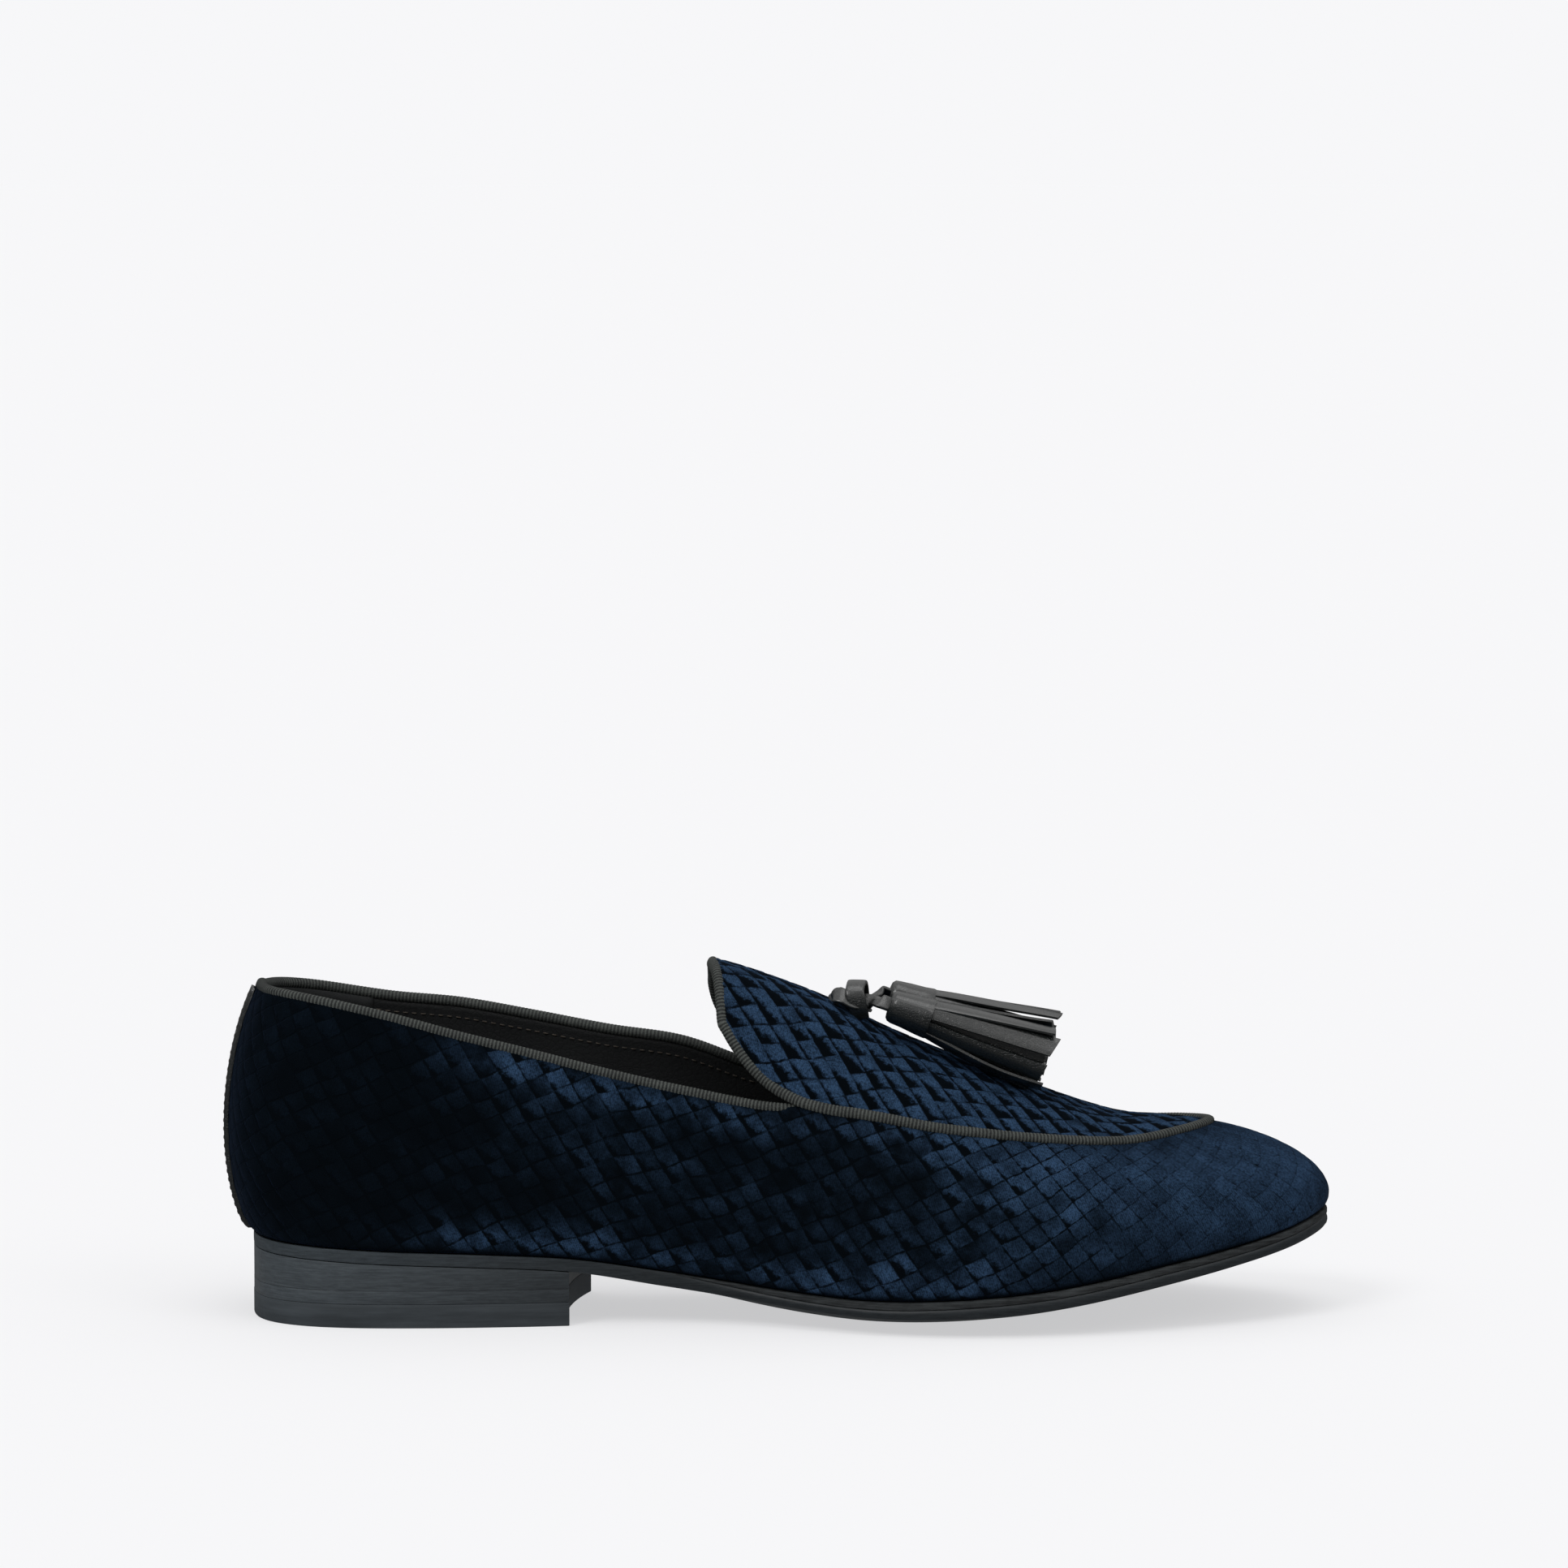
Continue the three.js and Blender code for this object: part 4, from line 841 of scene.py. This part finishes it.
def backstay():
    perRib = np.linalg.norm(lastPoint(0.5, 0.4) - lastPoint(-0.5, 0.4))
    reach = backstayForm["halfWidth"] / perRib
    columns, rows = backstayForm["columns"], backstayForm["rows"]
    across = np.linspace(-1, 1, columns)
    u = sided(across * reach)
    top = toplineShare(u)
    height = np.linalg.norm(lastPoint(u, top) - lastPoint(u, np.zeros_like(u)), axis=-1)
    stop = top * (1 - (ribbon["halfWidth"] + 2 * gap) / height)
    v, _ = evenShares(u, np.full_like(u, 0.004), stop, rows)
    rounding = np.clip((1 - np.abs(across)) * backstayForm["halfWidth"] / backstayForm["edge"], 0, 1)
    proud = backstayForm["rise"] + backstayForm["thickness"] * np.sqrt(1 - (1 - rounding) ** 2) * 0.999
    skin = sheet("backstayLeather", u[:, None], v, -proud[:, None], -0.05 * mm)
    seams = []
    share = 1 - backstayForm["stitchInset"] / backstayForm["halfWidth"]
    sunk = backstayForm["sunk"] - backstayForm["rise"] - backstayForm["thickness"]
    for side in (-1, 1):
        us = np.full(40, side * share * reach)
        column = int((columns // 2) * (1 + side * share))
        vs = np.interp(np.linspace(0.03, 0.985, 40), np.linspace(0, 1, rows + 1), v[column])
        seams.append(seam(f"backstaySeam{side + 1}", us, vs, sunk, backstayForm))
    dress(skin, blackLeather, "black_leather", "backstay")
    dress(joined(seams, "backstayStitches"), thread, "black_leather")


# Heel grip: a panel inside round the heel, with a stitched front edge and a stitched line under the ribbon.
# Its front, its edge and the seams' places are in ribs or shares of them.
gripForm = dict(front=3.15, edge=0.05, seamInset=0.09, underBinding=0.045, seamEnd=7.4, thickness=0.75 * mm,
                proud=0.1 * mm, back=0.2 * mm, columns=91, rows=24, pitch=2.4 * mm, threadThickness=0.45 * mm)


def heelGrip():
    front = gripForm["front"]
    u = sided(np.linspace(-front, front, gripForm["columns"]))
    top = toplineShare(u)
    v, _ = evenShares(u, top * 0.1, top * 0.985, gripForm["rows"])
    edge = np.clip((front - np.abs(u)) / gripForm["edge"], 0, 1)[:, None]
    deep = wall + gripForm["proud"] + gripForm["thickness"] * np.sqrt(1 - (1 - edge) ** 2)
    dress(sheet("heelGrip", u[:, None], v, deep, wall - gripForm["back"]), gripSuede, "lining")
    finer = dict(gripForm, threadThickness=gripForm["threadThickness"] - 0.03 * mm)
    seams = []
    for side in (-1, 1):
        us = np.full(30, side * (front - gripForm["seamInset"]))
        vs = np.linspace(0.25, 0.93, 30) * toplineShare(us)
        seams.append(seam(f"gripSeam{side + 1}", us, vs, wall + 0.8 * mm, gripForm, -1))
        us = side * np.linspace(front + 0.03, gripForm["seamEnd"], 60)
        vs = toplineShare(us) - gripForm["underBinding"]
        seams.append(seam(f"liningSeam{side + 1}", us, vs, wall + 0.02 * mm, finer, -1))
    dress(joined(seams, "liningStitches"), thread, "lining")


backstay()
heelGrip()
print("backstay and heel grip done")


# Sole
def weltAt(station):
    return lookUp(forepart, "welt", station) * solePlan["weltThickness"]


def soleEdge(u, inset):
    wider = (solePlan["edgeFront"] - solePlan["edgeHeel"]) * eased(foot(u)[0] / last["length"], 0.4, 0.55)
    return featherEdge(u, solePlan["edgeHeel"] + wider - inset)


def edgeThickness(station):
    return lookUp(seat, "edge", station) * last["instepHeight"]


def treadZ(station, share):
    crown = lookUp(forepart, "crown", station) * solePlan["treadCrown"]
    return np.maximum(seatZ(station) - edgeThickness(station) - crown * (1 - share ** 2.2), 0)


hairline = 0.04 * mm
weltStart = 6.55
weltRoughness = 0.05 * mm
ringPlaces = np.linspace(-toeRib, toeRib, 721)[:-1]


# One ring round the sole at an inset from its edge, at a height worked out from the station
def ringAt(u, inset, height):
    x, y = soleEdge(u, inset)
    return np.stack([x, y, height(x) + 0 * x], -1)


# Outsole: top, rebate for the welt, a rounded edge with a drawn-in foot, and the crowned tread
def outsole():
    u = ringPlaces
    welted = np.clip((np.abs(u) - weltStart) / 0.25, 0, 1)
    rebate = (weltAt(foot(u)[0]) + hairline) * welted
    tx, ty, _ = ridge(u)
    bevel = solePlan["edgeBevel"]

    def tread(share):
        ex, ey = soleEdge(u, bevel)
        x, y = tx + (ex - tx) * share, ty + (ey - ty) * share
        return np.stack([x, y, treadZ(x, share)], -1)

    # the edge is nearly straight along the heel and full round the forepart
    full = np.clip((foot(u)[0] / last["length"] - 0.33) / 0.12, 0, 1)
    bow = (0.1 + 0.4 * full) * mm
    top = np.stack([tx, ty, seatZ(tx)], -1)
    rings = [top, ringAt(u, solePlan["weltWidth"] + gap, seatZ),
             ringAt(u, solePlan["weltWidth"] + gap, lambda x: seatZ(x) - rebate)]
    for k in np.linspace(0, 1, 9):
        turn = math.pi * k
        inset = (1 - math.sin(turn) ** 0.6) * bow
        rings.append(ringAt(u, inset, lambda x: (seatZ(x) - rebate) * (1 - k)
                            + (treadZ(x, 1) + 0.25 * mm) * k))
    rings += [tread(share) for share in (1, 0.97, 0.86, 0.7, 0.5, 0.3, 0.12, 0)]
    sole = gridPiece("outsoleLeather", placed(np.stack(rings, 0)), False, True)
    crisp(sole, 40)
    return dress(sole, soleEdgeLeather, "sole_leather", "outsole")


# Welt: a strip from waist to waist round the toe, with a rough cut edge
def welt():
    u = np.concatenate([np.linspace(weltStart, toeRib, 300), -np.linspace(weltStart, toeRib, 300)[::-1][1:]])
    thick = weltAt(foot(u)[0])
    rough = weltRoughness * (np.sin(u * 161.0) + np.sin(u * 97.0 + 1.0)) / 2
    inner = solePlan["weltWidth"]
    # inset from the sole's edge, and share of the thickness down from the top
    rows = [(inner, 0.0), (0.55 * mm, 0.0), (0.25 * mm, 0.06), (0.1 * mm, 0.3), (0.1 * mm, 0.7),
            (0.25 * mm, 0.95), (inner, 1.0)]
    rings = [ringAt(u, inset + rough, lambda x: seatZ(x) - drop * thick) for inset, drop in rows]
    piece = gridPiece("weltStrip", placed(np.stack(rings, 1)), False, True, caps=endCaps(len(u), len(rows)))
    crisp(piece, 50)
    return dress(piece, weltEdge, "welt_leather", "welt")


# Insole inside the wall, a soft sock with a rolled edge
def insole():
    u = ringPlaces[::2]
    tx, ty, _ = ridge(u)
    inset = wall + 2 * gap
    high = solePlan["insoleThickness"]
    rings = [np.stack([tx, ty, seatZ(tx) + gap + high], -1)]
    # inset from the insole's own edge, and share of its thickness
    profile = ((12 * mm, 1.0), (4 * mm, 1.0), (0.9 * mm, 1.0), (0.25 * mm, 0.85), (0.0, 0.6), (0.0, 0.0))
    for extra, lift in profile:
        x, y = featherEdge(u, -inset - extra)
        rings.append(np.stack([x, y, seatZ(x) + gap + high * lift], -1))
    rings.append(np.stack([tx, ty, seatZ(tx) + gap], -1))
    piece = gridPiece("sockLeather", placed(np.stack(rings, 0)), False, True)
    return dress(piece, liningLeather, "lining", "insole")


heelForm = dict(topLift=6.4 * mm, lift=10 * mm, breastOuter=94.4 * mm, breastSkew=4.2 * mm,
                breastHollow=3 * mm, ribs=6.5, sidePoints=90)


# Outline of the heel in plan, back of a breast line that is hollow towards the toe
def heelOutline(inset):
    def sideLine(side, breast):
        s = np.linspace(0, heelForm["ribs"], 400)
        x, y = soleEdge(side * s, inset)
        place = np.interp(breast - inset, x, s)
        x, y = soleEdge(side * np.linspace(0, place, heelForm["sidePoints"]), inset)
        return np.stack([x, y], -1)
    outer = sideLine(-1, heelForm["breastOuter"])
    inner = sideLine(1, heelForm["breastOuter"] + heelForm["breastSkew"])
    t = np.linspace(0, 1, 26)[1:-1, None]
    breast = outer[-1] * (1 - t) + inner[-1] * t
    breast[:, 0] -= (heelForm["breastHollow"] * 4 * t * (1 - t))[:, 0]
    return np.concatenate([outer, breast, inner[::-1][:-1]])


# A layer of the heel: the outline carried up with rounded edges, closed above and below
def heelLayer(name, low, high, inset, ease, material, slot, node):
    top = high if callable(high) else (lambda xy: np.full(len(xy), high))
    bend = ease * 0.3
    # inset from the outline, share of the way up, and a step up from there
    profile = ((3 * mm, 0, 0), (ease, 0, 0), (bend, 0, bend), (0, 0, ease), (0, 0.5, 0), (0, 1, -ease),
               (bend, 1, -bend), (ease, 1, 0), (3 * mm, 1, 0))
    rows = []
    for extra, share, nudge in profile:
        xy = heelOutline(inset + extra)
        z = low * (1 - share) + top(xy) * share + nudge
        rows.append(np.column_stack([xy, z]))
    points = placed(np.stack(rows, 0))
    piece = gridPiece(name, points, False, True, caps=endCaps(*points.shape[:2]))
    crisp(piece, 40)
    return dress(piece, material, slot, node)


outsole()
welt()
insole()
underSole = lambda xy: seatZ(xy[:, 0]) - edgeThickness(xy[:, 0]) - hairline
heelLayer("heelBase", heelForm["lift"] + hairline, underSole, 0.1 * mm, 0.12 * mm, heelLeather,
          "sole_leather", "heel_base")
heelLayer("heelLift", heelForm["topLift"] + hairline, heelForm["lift"], 0.08 * mm, 0.1 * mm, heelLeather,
          "sole_leather", "heel_lift")
heelLayer("topLift", 0.0, heelForm["topLift"], 0.0, 0.25 * mm, rubber, "rubber", "top_lift")
print("sole and heel done")

# Tassels
tassel = dict(station=180.3 * mm, apart=6.3 * mm, splay=2.4 * mm, headLift=7.8 * mm, footLift=10.1 * mm,
              capLength=12 * mm, capRadius=4.5 * mm, reach=43.2 * mm, fringe=37.2 * mm, spread=9.8 * mm,
              flatness=0.62, stripThickness=1.25 * mm, innerLift=1.1 * mm, innerSplay=1.05,
              capSides=48, capLap=0.55 * mm, capTuck=3 * mm, droop=1.2 * mm, slant=0.9 * mm)
knot = dict(station=171.2 * mm, width=4.8 * mm, thickness=1.2 * mm)


def ridgeAt(x):
    s = np.linspace(0, toeRib, 601)
    rx, _, rz = ridge(s)
    return float(np.interp(x, rx, rz))


def over(x, y, lift):
    return np.array([x, y, ridgeAt(x) + lift])


def tasselEnds(side):
    splay = -1.0 if side < 0 else tassel["innerSplay"]
    more = tassel["innerLift"] if side > 0 else 0.0
    head = over(tassel["station"], splay * tassel["apart"], tassel["headLift"] + more)
    tip = over(tassel["station"] + tassel["reach"], splay * (tassel["apart"] + tassel["splay"]),
               tassel["footLift"] + more)
    return head, tip


# A flat thong along a path: a rounded strip section carried on a smooth curve, its flat side to the normals
def thong(name, points, normals, width, thickness, rings=60, sides=20, corner=0.45):
    points, normals = np.array(points), np.array(normals, float)
    place = np.linspace(0, len(points) - 1.001, rings)
    p, n = along(points, place, False), unit(along(normals, place, False))
    forward = unit(np.gradient(p, axis=0))
    side = unit(np.cross(forward, n))
    up = np.cross(side, forward)
    turn = np.linspace(0, 2 * math.pi, sides, endpoint=False)
    boxy = lambda w: np.sign(w) * np.abs(w) ** corner
    across = boxy(np.cos(turn)) * width / 2
    high = boxy(np.sin(turn)) * thickness / 2
    ring = carried(p, side, up, across, high)
    return gridPiece(name, placed(ring), False, True, caps=endCaps(*ring.shape[:2]))


# Cap of a tassel: a spiral wall, so that its outer edge stands a little proud along one line.
# A row is a share of the radius, millimetres from the head, and how far the lap shows.
capProfile = [(0.0, 0.5, 0), (0.55, 0.0, 0), (0.8, 0.15, 0.3), (0.95, 0.8, 0.7), (1.0, 1.8, 1),
              (1.07, 5.0, 1), (1.16, 9.0, 1), (1.22, 11.4, 1), (1.21, 11.9, 1), (1.14, 12.0, 0.7),
              (1.05, 11.6, 0.3), (1.0, 9.0, 0), (0.0, 9.0, 0)]


def capRings(start):
    turn = np.linspace(0, 2 * math.pi, tassel["capSides"], endpoint=False)
    lap = turn / (2 * math.pi) * tassel["capLap"]
    rows = []
    for share, high, full in capProfile:
        rough = (lap - 0.25 * mm) * full + 0.06 * mm * np.sin(turn * 3 + high) * full
        radius = tassel["capRadius"] * share + rough
        x, z = np.cos(turn + start) * radius, np.sin(turn + start) * radius
        rows.append(np.stack([x, np.full_like(turn, high * mm), z], -1))
    return np.stack(rows, 0)


# One cut strip, in the tassel's own directions: it spreads from the cap, waves, droops, twists and curls
def stripRings(rng, layer, angle, width):
    cut = tassel["fringe"] * (1 - 0.07 * rng.random() - 0.02 * (1 - layer))
    slant = rng.uniform(-1, 1) * tassel["slant"]
    t = np.linspace(0, 1, 22)
    grow = t ** 0.8
    base = tassel["capRadius"] * 0.9
    upReach = (base + (tassel["spread"] - base) * grow) * layer
    sideReach = (base + (tassel["spread"] * tassel["flatness"] - base) * grow) * layer
    wave = rng.normal(0, 0.5 * mm) * np.sin(t * math.pi * (1 + rng.random()) + rng.random() * 3) * t
    droop = -tassel["droop"] * t ** 2 * rng.random()
    out = np.array([math.cos(angle), 0, math.sin(angle)])
    lie = np.array([-math.sin(angle), 0, math.cos(angle)])
    middle = np.stack([out[0] * upReach + droop, tassel["capLength"] - tassel["capTuck"] + t * cut,
                       out[2] * sideReach], -1) + out * wave[:, None]
    wide = width * mm * (0.62 + 0.38 * grow) * rng.uniform(0.88, 1.08) / 2
    curl = rng.uniform(-0.25, 0.55) * mm * grow
    q = np.linspace(-1, 1, 7)
    twist = rng.normal(0, 0.16) * t
    edge = np.stack([np.cos(twist), np.sin(twist)], -1)
    lieT = lie * edge[:, :1] + out * edge[:, 1:]
    outT = out * edge[:, :1] - lie * edge[:, 1:]
    thick = tassel["stripThickness"] * rng.uniform(0.8, 1.05) / 2
    face = carried(middle, lieT, outT, np.outer(wide, q), -np.outer(curl, q ** 2))
    face[:, :, 1] += slant * q[None, :] * t[:, None] ** 6
    rounding = outT[:, None] * thick * (1 - 0.45 * np.abs(q) ** 6)[None, :, None]
    return np.concatenate([face + rounding, (face - rounding)[:, ::-1]], 1)


# Tassel: the cap, and three layers of strips. A layer is its share of the spread, their number and their
# width in millimetres.
tasselLayers = [(0.22, 3, 4.4), (0.6, 5, 5.2), (0.96, 8, 5.9)]


def tasselPiece(name, node, side, seed, start):
    head, tip = tasselEnds(side)
    run = unit(tip - head)
    across = unit(np.cross([0, 1, 0], run))
    basis = np.stack([across, run, np.cross(across, run)])
    rng = np.random.default_rng(seed)
    cap = gridPiece("cap", placed(capRings(start) @ basis + head), False, True)
    crisp(cap, 45)
    pieces = [cap]
    for layer, count, width in tasselLayers:
        for k in range(count):
            angle = (k + layer * 0.5) / count * 2 * math.pi + rng.normal(0, 0.08)
            ring = stripRings(rng, layer, angle, width)
            ends = endCaps(*ring.shape[:2])
            strip = gridPiece("strip", placed(ring @ basis + head), False, True, caps=ends)
            crisp(strip, 42)
            pieces.append(strip)
    return dress(joined(pieces, name), blackLeather, "black_leather", node)


# Knot: a thong laid along the ridge, a loop over it that stands up, and the two ends that go into the caps.
# A row is a point, as millimetres ahead of the knot's station, across, and over the ridge, and how it faces.
knotStrips = dict(
    wrap=(1.05, [((-5.6, -3.2, 0.9), (-0.8, -0.5, 0.3)), ((-5.4, -4.6, 2.6), (-0.5, -0.6, 0.7)),
                 ((-3, -5.6, 3.6), (0, -0.7, 0.8)), ((-0.5, -5.4, 3.2), (0.2, -0.5, 0.8)),
                 ((1.5, -3, 3.4), (0.5, -0.2, 0.8)), ((2.5, 1, 3.2), (0.6, 0, 0.8))]),
    back=(0.9, [((-5.5, -2.5, 0.8), (-0.7, 0, 0.7)), ((-5.5, 0.5, 2.6), (-0.6, 0.1, 0.8)),
                ((-4, 3.6, 2.6), (-0.2, 0.6, 0.7)), ((0, 4.6, 2.2), (0.1, 0.7, 0.7))]),
    loop=(1.05, [((1.2, -5.2, -0.1), (0, -0.9, -0.3)), ((0.6, -6.6, 3.2), (0, -1, 0.1)),
                 ((-0.2, -5.8, 6.6), (0, -0.8, 0.6)), ((0.4, -2, 8.9), (0, -0.2, 1)),
                 ((1, 2.4, 8.0), (0, 0.5, 0.9)), ((1.4, 5, 4.4), (0, 1, 0.2)),
                 ((1.6, 4.4, 0.9), (0, 0.9, -0.3))]))


def knotPoint(ahead, across, lift):
    return over(knot["station"] + ahead * mm, across * mm, lift * mm)


def knotPiece():
    width, thickness = knot["width"], knot["thickness"]
    pieces = []
    for name, (broad, rows) in knotStrips.items():
        points = [knotPoint(*point) for point, _ in rows]
        pieces.append(thong(name, points, [facing for _, facing in rows], width * broad, thickness))
    for side in (-1, 1):
        head, tip = tasselEnds(side)
        run = unit(tip - head)
        points = [knotPoint(2, side * 2, 4.6), knotPoint(5, side * 3, 6.0), head - run * 2.5 * mm,
                  head + run * 0.8 * mm]
        pieces.append(thong(f"end{side + 1}", points, [(0.1, side * 0.7, 0.7)] * 4, width * 0.95, thickness))
    return dress(joined(pieces, "tasselThong"), blackLeather, "black_leather", "tassel_thong")


tasselPiece("tasselOuter", "tassel_outer", -1, 11, 2.2)
tasselPiece("tasselInner", "tassel_inner", 1, 23, 0.6)
knotPiece()
print("tassels done")

# Camera, floor and light
view = dict(distance=1.7732, height=0.30947, x=0.10686, down=5.358, lens=151.31)
camera = bpy.data.objects.new("camera", bpy.data.cameras.new("camera"))
camera.data.lens = view["lens"]
camera.data.sensor_width = 36
camera.data.clip_end = 100
camera.location = (view["x"], -view["distance"], view["height"])
camera.rotation_euler = (math.radians(90 - view["down"]), 0, 0)
bpy.context.scene.collection.objects.link(camera)
bpy.context.scene.camera = camera

studio = dict(floor=(0.362, 0.362, 0.367, 1), glow=0.6, reach=150.0, backdrop=(0.93, 0.93, 0.945, 1),
              sky=(0.05, 0.9, 0.12, 0.8))
floorMaterial = Nodes(bpy.data.materials.new("paleFloor")).finish(
    Base_Color=studio["floor"], Roughness=0.9, Specular_IOR_Level=0.1, Emission_Color=studio["backdrop"],
    Emission_Strength=studio["glow"])
floorMesh = bpy.data.meshes.new("floor")
size = studio["reach"]
corners = [(-size, -size, 0), (size, -size, 0), (size, size, 0), (-size, size, 0)]
floorMesh.from_pydata(corners, [], [(0, 1, 2, 3)])
floor = bpy.data.objects.new("floor", floorMesh)
floor.data.materials.append(floorMaterial)
bpy.context.scene.collection.objects.link(floor)
floor.visible_glossy = False

# The sky is bright overhead and dim low down for the shoe, and pale for the eye, so that the backdrop runs on
sky = Nodes(bpy.data.worlds.new("studio"), "Background")
direction = sky.put("ShaderNodeSeparateXYZ", {0: sky.put("ShaderNodeTexCoord").outputs["Generated"]})
seen = sky.put("ShaderNodeLightPath").outputs["Is Camera Ray"]
overhead = sky.ramp(direction.outputs["Z"], *studio["sky"])
bpy.context.scene.world = sky.finish(Color=sky.blend(seen, overhead, studio["backdrop"]))


# A soft light without a place: turned by its height over the floor and its bearing from the toe's direction
def softSun(name, height, bearing, strength, spread):
    light = bpy.data.lights.new(name, "SUN")
    light.energy = strength
    light.angle = math.radians(spread)
    lamp = bpy.data.objects.new(name, light)
    lamp.rotation_euler = (math.radians(90 - height), 0, math.radians(bearing + 90))
    bpy.context.scene.collection.objects.link(lamp)


# height, bearing, strength and spread of each
suns = dict(overhead=(80, -60, 0.52, 36), leftBox=(44, -130, 0.85, 22), rightBox=(42, -40, 0.25, 30))
for name, setting in suns.items():
    softSun(name, *setting)
bpy.context.scene.view_settings.view_transform = "Standard"

print("scene done")
